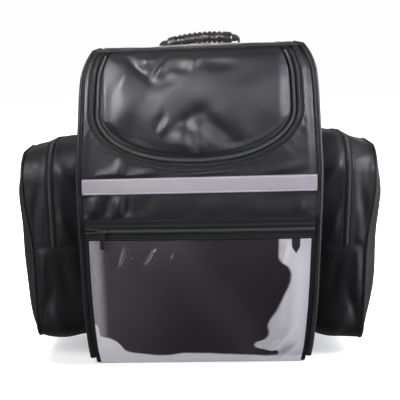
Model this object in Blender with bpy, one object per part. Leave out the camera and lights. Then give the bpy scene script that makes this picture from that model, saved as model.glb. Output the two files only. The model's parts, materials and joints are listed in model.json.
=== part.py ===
"""Insulated delivery backpack, standing upright on its base.

Metres. +Z is up, the front faces -Y and +X is on the viewer's right. The origin
is the middle of the base. A padded band wraps the body from the front over the
top and down the back; two side panels close it, and every other soft piece is
sewn on those. Panels are laid out on the band by x, across it, and by t, the
length along it from the front edge of the base.
"""
import math
from bisect import bisect_right

import bmesh
import bpy
from mathutils import Matrix, Vector

# Body, outside sizes
BODY_WIDTH = 0.369
BODY_HEIGHT = 0.502
BODY_DEPTH = 0.250
WALL = 0.005
BASE_ROUND = 0.010
SHOULDER_Z = 0.300
RIDGE_BACK = 0.070
CURVE_POWER = 2.6
BACK_ROUND = 0.035
SHOULDER_RISE = 0.0055
FRONT_SWELL = 0.005

# Clearance between pieces that touch
GAP = 0.0003

# Cloth and webbing
CLOTH = 0.002
TAPE = 0.0012
WEBBING = 0.002
VINYL = 0.0008

# Seam cord along the body's side edges
SEAM_WIDE = 0.009
SEAM_DEEP = 0.007
SEAM_PROUD = 0.0005
SEAM_OVER_PANEL = 0.0008

# Lid and its zip
MOUTH_MARGIN = 0.0107
MOUTH_OFFSET = 0.005
MOUTH_BOTTOM_Z = 0.313
MOUTH_ARC = 0.094
MOUTH_POWER = 2.15
ZIP_WIDTH = 0.021
LID_OVER_RIDGE = 0.030
LID_WALL = 0.004
LID_PUFF = 0.006
LID_EDGE = 0.022
CORD_FROM = 0.0070
CORD_WIDE = 0.0035
CORD_HIGH = 0.0020
COIL_FROM = 0.0130
COIL_WIDE = 0.0035
COIL_HIGH = 0.0010

# Webbing over the top edge
RIDGE_WEB_WIDE = 0.010
RIDGE_WEB_BACK = 0.018
RIDGE_WEB_CLEAR = 0.0007

# Reflective strip
STRIP_Z = 0.289
STRIP_WIDE = 0.025
STRIP_THICK = 0.0008

# Front pocket: zip above, clear window below
TAPE_Z = 0.2195
TAPE_WIDE = 0.035
CHAIN_Z = 0.2175
CHAIN_WIDE = 0.0055
CHAIN_HIGH = 0.0016
WINDOW_FOOT_Z = 0.011
WINDOW_MARGIN = 0.007
WINDOW_PUFF = 0.010

# Slider and pull of the front pocket
SLIDER_IN = 0.0305
SLIDER_LONG = 0.011
SLIDER_HIGH = 0.0085
SLIDER_THICK = 0.0020
BRIDGE_RISE = 0.0019
BRIDGE_BAR = 0.0012
BRIDGE_SPAN = 0.0052
POST = 0.0012
EYE_HOLE = 0.0024
EYE_OUTER = 0.0036
EYE_LONG = 0.0044
PULL_LONG = 0.0285
PULL_WIDE = 0.0078
PULL_THICK = 0.0012
PULL_NECK = 0.0034
PULL_SHOULDER = 0.0020

# Handle
GRIP_X = 0.0025
GRIP_BACK = 0.091
GRIP_LONG = 0.104
GRIP_WIDE = 0.028
GRIP_HIGH = 0.0155
GRIP_RISE = 0.0255
GRIP_SAG = 0.0030
CAP_LONG = 0.016
RIBS = 9
RIB_DEEP = 0.0016
HANDLE_WEB_WIDE = 0.025
HANDLE_WEB_THICK = 0.0022
HANDLE_FOOT_OUT = 0.0125
PATCH_WIDE = 0.029

# Side pockets
SIDE_DEPTH = 0.180
SIDE_TOP_Z = 0.350
SIDE_BOTTOM_Z = 0.034
SIDE_TOP_ROUND = 0.045
SIDE_BOTTOM_ROUND = 0.030
SIDE_REACH = 0.088
SIDE_SEAM_Z = 0.186
SIDE_SWELL = 0.024
SIDE_PUFF = 0.006
SIDE_ZIP_WIDE = 0.014
SIDE_ZIP_OUT = 0.046
SIDE_CORD = 0.005
# Hang of the left and right pockets: rise of the top at the body, its drop and the foot's at the rim
SIDE_RISE = {-1: 0.005, 1: 0.006}
SIDE_DROP = {-1: 0.009, 1: 0.013}
SIDE_SAG = {-1: 0.002, 1: 0.012}

# Shoulder straps
STRAP_X = 0.085
STRAP_DROP = 0.077
STRAP_WIDE = 0.058
STRAP_THICK = 0.010
STRAP_STAND = 0.042
STRAP_END_Z = 0.185
STRAP_SPREAD = 0.030
STRAP_FOOT_Z = 0.060
STRAP_FOOT_OUT = 0.004
STRAP_SEWN = 0.030
STRAP_WEB_WIDE = 0.025
PAD_HALF = 0.048
PAD_TOP_Z = 0.440
PAD_BOTTOM_Z = 0.050
PAD_PROUD = 0.0005
PAD_EDGE = 0.002
BUCKLE_WIDE = 0.034
BUCKLE_LONG = 0.030
BUCKLE_THICK = 0.005
BUCKLE_SLOT = 0.006

# Steps of the meshes
PITCH_FLAT = 0.050
PITCH_CURVE = 0.009
PITCH_ROUND = 0.006
NORMAL_REACH = 0.0015
ARC_STEPS = 20
LEG_STEPS = 10
BAND_COLUMNS = 10

FRONT_Y = -BODY_DEPTH / 2.0
BACK_Y = BODY_DEPTH / 2.0
BODY_HALF = BODY_WIDTH / 2.0
RIDGE_Y = FRONT_Y + RIDGE_BACK
MOUTH_CENTRE = -MOUTH_OFFSET
SLIDER_X = SLIDER_IN - BODY_HALF
GRIP_Y = FRONT_Y + GRIP_BACK

# Half width of the band up the body: share of the height, share of the half width
WIDTHS = (
    (0.000, 0.900),
    (0.060, 0.932),
    (0.200, 0.966),
    (0.400, 0.988),
    (0.620, 1.000),
    (0.780, 0.972),
    (0.890, 0.958),
    (0.930, 0.946),
    (0.967, 0.915),
    (1.000, 0.868),
)

# Rim of a side pocket, outwards from the body: share of its height, share of its reach
SIDE_RIM = (
    (0.00, 0.900),
    (0.25, 0.870),
    (0.48, 0.870),
    (0.72, 0.970),
    (1.00, 1.000),
)

# Swell of the left and right pockets' outer panels: share of the height, share of the swell
SIDE_BELLY = {
    -1: ((0.00, 0.85), (0.35, 0.80), (0.60, 0.68), (0.84, 0.66), (1.00, 0.45)),
    1: ((0.00, 0.75), (0.35, 1.00), (0.60, 0.90), (1.00, 0.45)),
}

# Dents of the lid: x and height as shares of the mouth's half width and of the
# lid's height, half sizes as shares of the mouth's half width, turn, depth as a
# share of the lid's puff
LID_DENTS = (
    (-0.38, 0.80, 0.10, 0.22, 0.60, 0.50),
    (-0.22, 0.80, 0.09, 0.22, -0.60, 0.45),
    (0.02, 0.36, 0.34, 0.10, 0.00, 0.55),
    (0.62, 0.70, 0.10, 0.30, 0.20, 0.30),
    (-0.72, 0.42, 0.20, 0.10, 0.50, 0.30),
)

# Arch of a shoulder strap: share of its drop, share of its stand off the back
STRAP_ARCH = (
    (0.00, 0.00),
    (0.08, 0.42),
    (0.22, 0.86),
    (0.45, 1.00),
    (0.75, 0.86),
    (1.00, 0.60),
)

COLOURS = {
    "nylon": ((0.020, 0.020, 0.023, 1.0), 0.62, 0.0),
    "webbing": ((0.045, 0.047, 0.045, 1.0), 0.75, 0.0),
    "cord": ((0.055, 0.055, 0.060, 1.0), 0.55, 0.0),
    "zip": ((0.015, 0.015, 0.017, 1.0), 0.50, 0.0),
    "silver": ((0.46, 0.45, 0.49, 1.0), 0.40, 0.3),
    "vinyl": ((0.35, 0.32, 0.34, 0.35), 0.10, 0.0),
    "moulded": ((0.012, 0.012, 0.013, 1.0), 0.35, 0.0),
    "metal": ((0.10, 0.10, 0.11, 1.0), 0.35, 0.8),
}


def lerp(a, b, share):
    return a + (b - a) * share


def ease(share):
    """Smooth step from 0 to 1."""
    share = min(1.0, max(0.0, share))
    return share * share * (3.0 - 2.0 * share)


def read_table(rows, station):
    """Value at a station, on a smooth curve through a table's rows."""
    last = len(rows) - 1
    k = min(last - 1, max(0, bisect_right([row[0] for row in rows], station) - 1))
    s0, v0 = rows[k]
    s1, v1 = rows[k + 1]
    before = rows[max(0, k - 1)]
    after = rows[min(last, k + 2)]
    slope0 = (v1 - before[1]) / (s1 - before[0])
    slope1 = (after[1] - v0) / (after[0] - s0)
    span = s1 - s0
    u = min(1.0, max(0.0, (station - s0) / span))
    return (
        (2 * u**3 - 3 * u**2 + 1) * v0
        + (u**3 - 2 * u**2 + u) * span * slope0
        + (3 * u**2 - 2 * u**3) * v1
        + (u**3 - u**2) * span * slope1
    )


# Side view of the body

def arc_points(centre_y, centre_z, radius, start, end, steps):
    return [
        (
            centre_y + radius * math.cos(lerp(start, end, i / steps)),
            centre_z + radius * math.sin(lerp(start, end, i / steps)),
        )
        for i in range(steps + 1)
    ]


def body_outline():
    """Fine outline of the band in the YZ plane, clockwise from the base's front edge."""
    quarter = math.pi / 2.0
    points = arc_points(FRONT_Y + BASE_ROUND, BASE_ROUND, BASE_ROUND, -quarter, -2 * quarter, 24)
    steps = 160
    for i in range(steps + 1):
        angle = quarter * i / steps
        back = (RIDGE_Y - FRONT_Y) * (1.0 - math.cos(angle) ** (2.0 / CURVE_POWER))
        rise = (BODY_HEIGHT - SHOULDER_Z) * math.sin(angle) ** (2.0 / CURVE_POWER)
        points.append((FRONT_Y + back, SHOULDER_Z + rise))
    centre = (BACK_Y - BACK_ROUND, BODY_HEIGHT - BACK_ROUND)
    points += arc_points(*centre, BACK_ROUND, quarter, 0.0, 32)
    points += arc_points(BACK_Y - BASE_ROUND, BASE_ROUND, BASE_ROUND, 0.0, -quarter, 24)
    points.append(points[0])
    return points


OUTLINE = body_outline()
STATIONS = [0.0]
for first, second in zip(OUTLINE, OUTLINE[1:]):
    STATIONS.append(STATIONS[-1] + math.dist(first, second))
ROUND_TRIP = STATIONS[-1]


def on_outline(t):
    """Point of the outline at the length t along it."""
    t = t % ROUND_TRIP
    k = min(len(OUTLINE) - 2, bisect_right(STATIONS, t) - 1)
    share = (t - STATIONS[k]) / max(STATIONS[k + 1] - STATIONS[k], 1e-9)
    return (
        lerp(OUTLINE[k][0], OUTLINE[k + 1][0], share),
        lerp(OUTLINE[k][1], OUTLINE[k + 1][1], share),
    )


def outline_normal(t):
    """Unit normal of the outline, pointing out of the body."""
    y0, z0 = on_outline(t - NORMAL_REACH)
    y1, z1 = on_outline(t + NORMAL_REACH)
    length = math.hypot(y1 - y0, z1 - z0)
    return -(z1 - z0) / length, (y1 - y0) / length


def station_of(y, z):
    """Length along the outline of its point nearest to y, z."""
    k = min(range(len(OUTLINE) - 1), key=lambda i: math.dist(OUTLINE[i], (y, z)))
    return STATIONS[k]


T_FRONT = station_of(FRONT_Y, BASE_ROUND)
T_RIDGE = station_of(RIDGE_Y, BODY_HEIGHT)
T_LID_END = T_RIDGE + LID_OVER_RIDGE
T_TOP_END = station_of(BACK_Y - BACK_ROUND, BODY_HEIGHT)
T_BACK = station_of(BACK_Y, BODY_HEIGHT - BACK_ROUND)
T_BACK_END = station_of(BACK_Y, BASE_ROUND)
T_BOTTOM = station_of(BACK_Y - BASE_ROUND, 0.0)


def t_front(z):
    """Station on the upright front at the height z."""
    return T_FRONT + z - BASE_ROUND


T_SEAM = t_front(STRIP_Z)
T_MOUTH = t_front(SHOULDER_Z) + MOUTH_BOTTOM_Z - SHOULDER_Z
T_LEG = T_MOUTH + MOUTH_ARC


def half_width(z):
    return BODY_HALF * read_table(WIDTHS, min(1.0, max(0.0, z / BODY_HEIGHT)))


def band_half(t):
    return half_width(on_outline(t)[1])


MOUTH_HALF = band_half(T_LEG) - MOUTH_MARGIN


def settle(point):
    """The soft body leans: its right shoulder stands a little higher than its left."""
    rise = SHOULDER_RISE * ease((point.z - 0.30 * BODY_HEIGHT) / (0.60 * BODY_HEIGHT))
    return Vector((point.x, point.y, point.z + rise * point.x / BODY_HALF))


def swell(x, t):
    """How far the front panel stands proud of a flat one."""
    z = on_outline(t)[1]
    if t > T_MOUTH:
        return 0.0
    across = max(0.0, 1.0 - (x / band_half(t)) ** 2)
    along = math.sin(math.pi * min(1.0, max(0.0, (z - BASE_ROUND) / (MOUTH_BOTTOM_Z - BASE_ROUND))))
    return FRONT_SWELL * across * along


def skin(x, t, lift=0.0):
    """Point on the band's outer face, raised off it by lift."""
    y, z = on_outline(t)
    normal_y, normal_z = outline_normal(t)
    out = lift + swell(x, t)
    return settle(Vector((x, y + normal_y * out, z + normal_z * out)))


# Mesh makers

def paint(obj, name):
    """Give an object its own material in one of the named finishes."""
    colour, roughness, metallic = COLOURS[name]
    material = bpy.data.materials.new(obj.name + "_" + name)
    material.use_nodes = True
    shader = material.node_tree.nodes["Principled BSDF"]
    shader.inputs["Base Color"].default_value = colour[:3] + (1.0,)
    shader.inputs["Roughness"].default_value = roughness
    shader.inputs["Metallic"].default_value = metallic
    shader.inputs["Alpha"].default_value = colour[3]
    obj.data.materials.append(material)


def make_object(name, vertices, faces, finish, smooth=40.0):
    """One closed mesh with its faces turned outwards."""
    mesh = bpy.data.meshes.new(name)
    mesh.from_pydata([tuple(v) for v in vertices], [], faces)
    shape = bmesh.new()
    shape.from_mesh(mesh)
    bmesh.ops.recalc_face_normals(shape, faces=shape.faces)
    shape.to_mesh(mesh)
    shape.free()
    mesh.shade_smooth()
    mesh.set_sharp_from_angle(angle=math.radians(smooth))
    obj = bpy.data.objects.new(name, mesh)
    bpy.context.scene.collection.objects.link(obj)
    paint(obj, finish)
    return obj


def slab(name, rows, columns, place, finish):
    """Closed sheet: place(u, v, side) gives its outer face at side 0 and its inner at 1."""
    vertices = []
    for side in (0, 1):
        for i in range(rows + 1):
            for j in range(columns + 1):
                vertices.append(place(i / rows, j / columns, side))
    layer = (rows + 1) * (columns + 1)

    def at(i, j, side):
        return side * layer + i * (columns + 1) + j

    faces = []
    for i in range(rows):
        for j in range(columns):
            for side in (0, 1):
                quad = [at(i, j, side), at(i + 1, j, side), at(i + 1, j + 1, side), at(i, j + 1, side)]
                faces.append(quad if side == 0 else quad[::-1])
    for i in range(rows):
        faces.append([at(i, 0, 0), at(i, 0, 1), at(i + 1, 0, 1), at(i + 1, 0, 0)])
        faces.append([at(i, columns, 0), at(i + 1, columns, 0), at(i + 1, columns, 1), at(i, columns, 1)])
    for j in range(columns):
        faces.append([at(0, j, 0), at(0, j + 1, 0), at(0, j + 1, 1), at(0, j, 1)])
        faces.append([at(rows, j, 0), at(rows, j, 1), at(rows, j + 1, 1), at(rows, j + 1, 0)])
    return make_object(name, vertices, faces, finish)


def loft(name, rings, finish, closed=False, smooth=40.0):
    """Closed solid through rings of points, capped at its ends unless it closes on itself."""
    size = len(rings[0])
    vertices = [point for ring in rings for point in ring]
    faces = []
    count = len(rings)
    for i in range(count if closed else count - 1):
        here = i * size
        there = ((i + 1) % count) * size
        for k in range(size):
            following = (k + 1) % size
            faces.append([here + k, here + following, there + following, there + k])
    if not closed:
        faces.append(list(range(size))[::-1])
        faces.append([(count - 1) * size + k for k in range(size)])
    return make_object(name, vertices, faces, finish, smooth)


def block(name, corner, size, finish):
    """Box from its lowest corner and its size."""
    vertices = [
        (corner[0] + size[0] * i, corner[1] + size[1] * j, corner[2] + size[2] * k)
        for i in (0, 1)
        for j in (0, 1)
        for k in (0, 1)
    ]
    faces = [(0, 1, 3, 2), (4, 6, 7, 5), (0, 4, 5, 1), (2, 3, 7, 6), (0, 2, 6, 4), (1, 5, 7, 3)]
    return make_object(name, vertices, faces, finish, smooth=10.0)


def helper(obj):
    """Mark an object as a tool for a Boolean."""
    obj.hide_render = True
    obj.display_type = "WIRE"
    return obj


def combine(obj, tool, operation):
    modifier = obj.modifiers.new(operation.title(), "BOOLEAN")
    modifier.operation = operation
    modifier.solver = "EXACT"
    modifier.object = helper(tool)


# Body

def spread(start, end, pitch):
    """Stations from start to end, both ends included, no further apart than pitch."""
    steps = max(1, math.ceil((end - start) / pitch - 1e-6))
    return [lerp(start, end, i / steps) for i in range(steps + 1)]


def stations_through(*runs):
    """Stations along several runs that follow on, each a start, an end and a pitch."""
    stations = []
    for start, end, pitch in runs:
        stations += spread(start, end, pitch)[:-1]
    return stations + [runs[-1][1]]


def band_panel(name, stations):
    """Full width stretch of the padded band through the given stations."""
    stations = [stations[0] + GAP / 2.0] + stations[1:-1] + [stations[-1] - GAP / 2.0]
    rows = len(stations) - 1

    def place(u, v, side):
        t = stations[round(u * rows)]
        return skin(lerp(-1.0, 1.0, v) * band_half(t), t, -WALL * side)

    slab(name, rows, BAND_COLUMNS, place, "nylon")


def back_panel():
    """Back of the band, with a low flat pad down its middle between the shoulder straps."""
    top = T_BACK + BODY_HEIGHT - BACK_ROUND - PAD_TOP_Z
    bottom = top + PAD_TOP_Z - PAD_BOTTOM_Z
    stations = [T_BACK + GAP / 2.0, top - PAD_EDGE]
    stations += spread(top, bottom, PITCH_FLAT)
    stations += [bottom + PAD_EDGE, T_BACK_END - GAP / 2.0]
    rows = len(stations) - 1
    lines = [PAD_HALF * k / 2.0 for k in range(-2, 3)]
    lines = [-PAD_HALF - PAD_EDGE] + lines + [PAD_HALF + PAD_EDGE]
    columns = len(lines) + 3

    def place(u, v, side):
        t = stations[round(u * rows)]
        column = round(v * columns)
        if 2 <= column <= columns - 2:
            x = lines[column - 2]
        else:
            outer = band_half(t)
            x = min(column, columns - column) * (outer - PAD_HALF - PAD_EDGE) / 2.0 - outer
            if column > columns / 2.0:
                x = -x
        on_pad = abs(x) < PAD_HALF + GAP and top - GAP < t < bottom + GAP
        lift = PAD_PROUD if on_pad and side == 0 else 0.0
        return skin(x, t, lift - WALL * side)

    slab("back_panel", rows, columns, place, "nylon")


def mouth_points(inward):
    """Outline of the lid's mouth as x and t, left leg, arc and right leg, drawn in by inward.

    The legs follow the body's width where it narrows towards the top.
    """
    legs = []
    for i in range(LEG_STEPS):
        t = lerp(T_LID_END, T_LEG, i / LEG_STEPS)
        narrowing = min(0.0, band_half(t) - band_half(T_LEG))
        legs.append((MOUTH_HALF + narrowing - inward, t))
    arc = []
    for i in range(ARC_STEPS + 1):
        angle = math.pi * i / ARC_STEPS
        across = math.copysign(abs(math.cos(angle)) ** (2.0 / MOUTH_POWER), -math.cos(angle))
        along = math.sin(angle) ** (2.0 / MOUTH_POWER) if 0 < i < ARC_STEPS else 0.0
        steep_x = math.copysign(abs(across) ** (MOUTH_POWER - 1.0) / MOUTH_HALF, across)
        steep_t = along ** (MOUTH_POWER - 1.0) / MOUTH_ARC
        length = math.hypot(steep_x, steep_t)
        arc.append((
            MOUTH_HALF * across - inward * steep_x / length,
            T_LEG - MOUTH_ARC * along + inward * steep_t / length,
        ))
    left = [(MOUTH_CENTRE - x, t) for x, t in legs]
    right = [(MOUTH_CENTRE + x, t) for x, t in reversed(legs)]
    return left + [(MOUTH_CENTRE + x, t) for x, t in arc] + right


def frame_edge():
    """Outer edge of the upper front panel, point for point with the mouth's outline."""
    side_steps = ARC_STEPS // 5
    half = ARC_STEPS // 2
    points = []
    for i in range(LEG_STEPS):
        t = lerp(T_LID_END, T_LEG, i / LEG_STEPS)
        points.append((-band_half(t), t))
    for i in range(half + 1):
        if i <= side_steps:
            t = lerp(T_LEG, T_SEAM + GAP / 2.0, i / side_steps)
            points.append((-band_half(t), t))
        else:
            share = (i - side_steps) / (half - side_steps)
            points.append((lerp(-band_half(T_SEAM), MOUTH_CENTRE, share), T_SEAM + GAP / 2.0))
    mirrored = [(-x, t) for x, t in points[:-1]]
    return points + mirrored[::-1]


def upper_front():
    """Front panel round the lid's mouth."""
    inner = mouth_points(0.0)
    outer = frame_edge()
    count = len(inner) - 1

    def place(u, v, side):
        k = round(u * count)
        x = lerp(outer[k][0], inner[k][0], v)
        t = lerp(outer[k][1], inner[k][1], v)
        return skin(x, t, -WALL * side)

    slab("upper_front", count, 2, place, "nylon")


def cord_fade(t):
    """The lid zip's cord and coil flatten where they pass under the webbing."""
    return 1.0 - ease((t - (T_RIDGE - RIDGE_WEB_BACK - 3.0 * RIDGE_WEB_WIDE)) / RIDGE_WEB_WIDE)


def zip_section():
    """Section of the lid zip as pairs of distance in from the mouth and height."""
    cord_end = CORD_FROM + CORD_WIDE
    coil_end = COIL_FROM + COIL_WIDE
    return (
        (GAP, 0.0),
        (CORD_FROM, 0.0),
        (CORD_FROM + 0.2 * CORD_WIDE, CORD_HIGH),
        (cord_end - 0.2 * CORD_WIDE, CORD_HIGH),
        (cord_end, 0.0),
        (COIL_FROM, 0.0),
        ((COIL_FROM + coil_end) / 2.0, COIL_HIGH),
        (coil_end, 0.0),
        (ZIP_WIDTH - GAP, 0.0),
        (ZIP_WIDTH - GAP, -CLOTH),
        (GAP, -CLOTH),
    )


def lid_zip():
    columns = [mouth_points(distance) for distance, _ in zip_section()]
    heights = [height for _, height in zip_section()]
    rings = []
    for k in range(len(columns[0])):
        ring = []
        for points, height in zip(columns, heights):
            x, t = points[k]
            raised = height * cord_fade(columns[0][k][1]) if height > 0.0 else height
            ring.append(skin(x, t, raised))
        rings.append(ring)
    loft("lid_zip", rings, "zip")


def lid_height(x, t):
    """How far the padded lid stands proud of the band, with its dents."""
    top = T_RIDGE - RIDGE_WEB_BACK - RIDGE_WEB_WIDE
    if t >= top:
        return 0.0
    across = (x - MOUTH_CENTRE) / (MOUTH_HALF - ZIP_WIDTH)
    low = T_LEG - (MOUTH_ARC - ZIP_WIDTH) * math.sqrt(max(0.0, 1.0 - across * across))
    inside = min((1.0 - abs(across)) * MOUTH_HALF, t - low, top - t)
    height = LID_PUFF * ease(inside / LID_EDGE)
    for dent_x, dent_z, wide, tall, turn, depth in LID_DENTS:
        side = (x - MOUTH_CENTRE) / MOUTH_HALF - dent_x
        up = (t - T_MOUTH - dent_z * (top - T_MOUTH)) / MOUTH_HALF
        along = side * math.cos(turn) + up * math.sin(turn)
        over = up * math.cos(turn) - side * math.sin(turn)
        height -= LID_PUFF * depth * math.exp(-((along / wide) ** 2) - (over / tall) ** 2)
    return height * ease(inside / LID_EDGE * 2.0)


def lid_flap():
    edge = mouth_points(ZIP_WIDTH)
    arc = edge[LEG_STEPS:LEG_STEPS + ARC_STEPS + 1]
    legs = edge[:LEG_STEPS + 1]
    leg_half = MOUTH_CENTRE - legs[LEG_STEPS][0]

    def place(u, v, side):
        arc_x, arc_t = arc[round(v * ARC_STEPS)]
        t = lerp(T_LID_END, arc_t, u)
        share = (arc_x - MOUTH_CENTRE) / leg_half
        drop = lerp(T_LID_END, T_LEG, u)
        narrowing = min(0.0, band_half(drop) - band_half(T_LEG))
        x = MOUTH_CENTRE + share * (leg_half + narrowing)
        return skin(x, t, lid_height(x, t) - LID_WALL * side)

    slab("lid_flap", LEG_STEPS, ARC_STEPS, place, "nylon")


def ridge_webbing():
    """Webbing sewn across the front edge of the top."""
    middle = T_RIDGE - RIDGE_WEB_BACK

    def place(u, v, side):
        t = middle + lerp(-0.5, 0.5, u) * RIDGE_WEB_WIDE
        x = lerp(-1.0, 1.0, v) * (band_half(t) - GAP)
        return skin(x, t, RIDGE_WEB_CLEAR + WEBBING * (1 - side))

    slab("top_webbing", 2, 14, place, "webbing")


def seam_ring(t, side):
    """Section of the seam cord at a station of the body's outline."""
    y, z = on_outline(t)
    normal_y, normal_z = outline_normal(t)
    centre_x = half_width(z) + GAP + SEAM_WIDE / 2.0
    middle = SEAM_PROUD - SEAM_DEEP / 2.0
    ring = []
    sides = 6
    for k in range(sides):
        angle = 2.0 * math.pi * (k + 0.5) / sides
        x = side * (centre_x + math.cos(angle) * SEAM_WIDE / 2.0)
        out = middle + math.sin(angle) * SEAM_DEEP / 2.0
        ring.append(settle(Vector((x, y + normal_y * out, z + normal_z * out))))
    return ring


def seam_cords():
    stations = stations_through(
        (T_FRONT, t_front(SHOULDER_Z), PITCH_FLAT),
        (t_front(SHOULDER_Z), T_RIDGE, PITCH_CURVE),
        (T_RIDGE, T_TOP_END, PITCH_FLAT),
        (T_TOP_END, T_BACK, PITCH_CURVE),
        (T_BACK, T_BACK_END, PITCH_FLAT),
    )
    for word, side in (("left", -1), ("right", 1)):
        rings = [seam_ring(t, side) for t in stations]
        loft("side_seam_" + word, rings, "cord", smooth=70.0)


PANEL_INSET = SEAM_DEEP - SEAM_PROUD + GAP


def inset_edges():
    """Front and back edges of the side panel as fine lists of y and z, upwards."""
    front = []
    back = []
    steps = 240
    for i in range(steps + 1):
        t = lerp(0.0, T_RIDGE, i / steps)
        y, z = on_outline(t)
        normal_y, normal_z = outline_normal(t)
        front.append((y - normal_y * PANEL_INSET, z - normal_z * PANEL_INSET))
        t = lerp(T_BOTTOM, T_TOP_END, i / steps)
        y, z = on_outline(t)
        normal_y, normal_z = outline_normal(t)
        back.append((y - normal_y * PANEL_INSET, z - normal_z * PANEL_INSET))
    return front, back


def edge_at(edge, z):
    """Where an edge of the side panel crosses the height z."""
    for (y0, z0), (y1, z1) in zip(edge, edge[1:]):
        if z0 <= z <= z1 and z1 > z0:
            return lerp(y0, y1, (z - z0) / (z1 - z0))
    return edge[0][0] if z < edge[0][1] else edge[-1][0]


def side_face(z):
    """Distance of a side panel's outer face from the middle."""
    return half_width(z) + GAP + SEAM_WIDE - SEAM_OVER_PANEL


def side_panels():
    front, back = inset_edges()
    low = PANEL_INSET
    high = BODY_HEIGHT - PANEL_INSET
    corner = 0.30 * (BASE_ROUND - PANEL_INSET)
    levels = [low, low + corner, BASE_ROUND]
    levels += [lerp(BASE_ROUND, SHOULDER_Z, i / 8) for i in range(1, 9)]
    levels += [lerp(SHOULDER_Z, high, math.sin(math.pi / 2 * i / 9)) for i in range(1, 10)]
    count = len(levels) - 1
    for word, direction in (("left", -1), ("right", 1)):

        def place(u, v, side, direction=direction):
            z = levels[round(u * count)]
            y = lerp(edge_at(front, z), edge_at(back, z), v)
            x = side_face(z) - WALL * side
            return settle(Vector((direction * x, y, z)))

        slab("side_panel_" + word, count, 4, place, "nylon")


# Sewn on the front

def reflective_strip():
    def place(u, v, side):
        t = T_SEAM + lerp(-0.5, 0.5, u) * STRIP_WIDE
        x = lerp(-1.0, 1.0, v) * (band_half(t) - GAP)
        return skin(x, t, GAP + STRIP_THICK * (1 - side))

    slab("reflective_strip", 1, 14, place, "silver")


def pocket_zip():
    """Zip tape over the front pocket with its raised chain."""
    low = TAPE_Z - TAPE_WIDE / 2.0
    high = TAPE_Z + TAPE_WIDE / 2.0
    section = (
        (low, GAP),
        (low, GAP + TAPE),
        (CHAIN_Z - 0.5 * CHAIN_WIDE, GAP + TAPE),
        (CHAIN_Z - 0.3 * CHAIN_WIDE, GAP + TAPE + CHAIN_HIGH),
        (CHAIN_Z + 0.3 * CHAIN_WIDE, GAP + TAPE + CHAIN_HIGH),
        (CHAIN_Z + 0.5 * CHAIN_WIDE, GAP + TAPE),
        (high, GAP + TAPE),
        (high, GAP),
    )
    columns = 14
    rings = []
    for j in range(columns + 1):
        ring = []
        for z, lift in section:
            t = t_front(z)
            ring.append(skin(lerp(-1.0, 1.0, j / columns) * (band_half(t) - GAP), t, lift))
        rings.append(ring)
    loft("pocket_zip", rings, "zip")


def window_half(z):
    return half_width(z) - WINDOW_MARGIN


def clear_pocket():
    """Clear vinyl window, sewn down at its sides and foot and standing off the front."""
    head = TAPE_Z - TAPE_WIDE / 2.0 - GAP
    edge_rows = (0.0, 0.05, 0.14, 0.30, 0.50, 0.70, 0.86, 0.95, 1.0)
    edge_columns = (0.0, 0.03, 0.09, 0.20, 0.35, 0.50, 0.65, 0.80, 0.91, 0.97, 1.0)

    def place(u, v, side):
        row = edge_rows[round(u * (len(edge_rows) - 1))]
        column = edge_columns[round(v * (len(edge_columns) - 1))]
        z = lerp(WINDOW_FOOT_Z, head, row)
        across = min(column, 1.0 - column) / 0.09
        up = min(row / 0.14, (1.0 - row) / 0.30)
        puff = WINDOW_PUFF * ease(across) * ease(up)
        x = lerp(-1.0, 1.0, column) * window_half(z)
        return skin(x, t_front(z), GAP + puff + VINYL * (1 - side))

    slab("clear_pocket", len(edge_rows) - 1, len(edge_columns) - 1, place, "vinyl")


SLIDER_SEAT = GAP + TAPE + CHAIN_HIGH + GAP
HINGE_LIFT = SLIDER_SEAT + SLIDER_THICK + BRIDGE_RISE + BRIDGE_BAR / 2.0


def slider_origin(lift):
    return skin(SLIDER_X, t_front(CHAIN_Z), lift)


def pocket_slider():
    """Slider on the chain, with a lengthwise bridge that the pull's eye rolls round."""
    seat = slider_origin(SLIDER_SEAT)
    nose = 0.35 * SLIDER_HIGH
    outline = (
        (-0.5 * SLIDER_LONG, -nose),
        (0.2 * SLIDER_LONG, -0.5 * SLIDER_HIGH),
        (0.5 * SLIDER_LONG, -0.4 * SLIDER_HIGH),
        (0.5 * SLIDER_LONG, 0.4 * SLIDER_HIGH),
        (0.2 * SLIDER_LONG, 0.5 * SLIDER_HIGH),
        (-0.5 * SLIDER_LONG, nose),
    )
    rings = [
        [Vector((seat.x + x, seat.y - depth, seat.z + z)) for x, z in outline]
        for depth in (0.0, SLIDER_THICK)
    ]
    body = loft("pocket_slider", rings, "metal", smooth=20.0)
    reach = BRIDGE_SPAN / 2.0 + POST
    bar_z = seat.z - BRIDGE_BAR / 2.0
    top = seat.y - SLIDER_THICK
    bar_low = top - BRIDGE_RISE - BRIDGE_BAR
    bar = block(
        "bridge_bar",
        (seat.x - reach, bar_low, bar_z),
        (2.0 * reach, BRIDGE_BAR, BRIDGE_BAR),
        "metal",
    )
    combine(body, bar, "UNION")
    for word, side in (("front", -1), ("rear", 1)):
        start = seat.x + side * (BRIDGE_SPAN / 2.0 + POST / 2.0) - POST / 2.0
        post = block(
            "bridge_post_" + word,
            (start, bar_low + BRIDGE_BAR / 4.0, bar_z),
            (POST, BRIDGE_BAR + BRIDGE_RISE, BRIDGE_BAR),
            "metal",
        )
        combine(body, post, "UNION")


def circle(radius, sides):
    return [
        (radius * math.cos(2 * math.pi * k / sides), radius * math.sin(2 * math.pi * k / sides))
        for k in range(sides)
    ]


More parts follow.
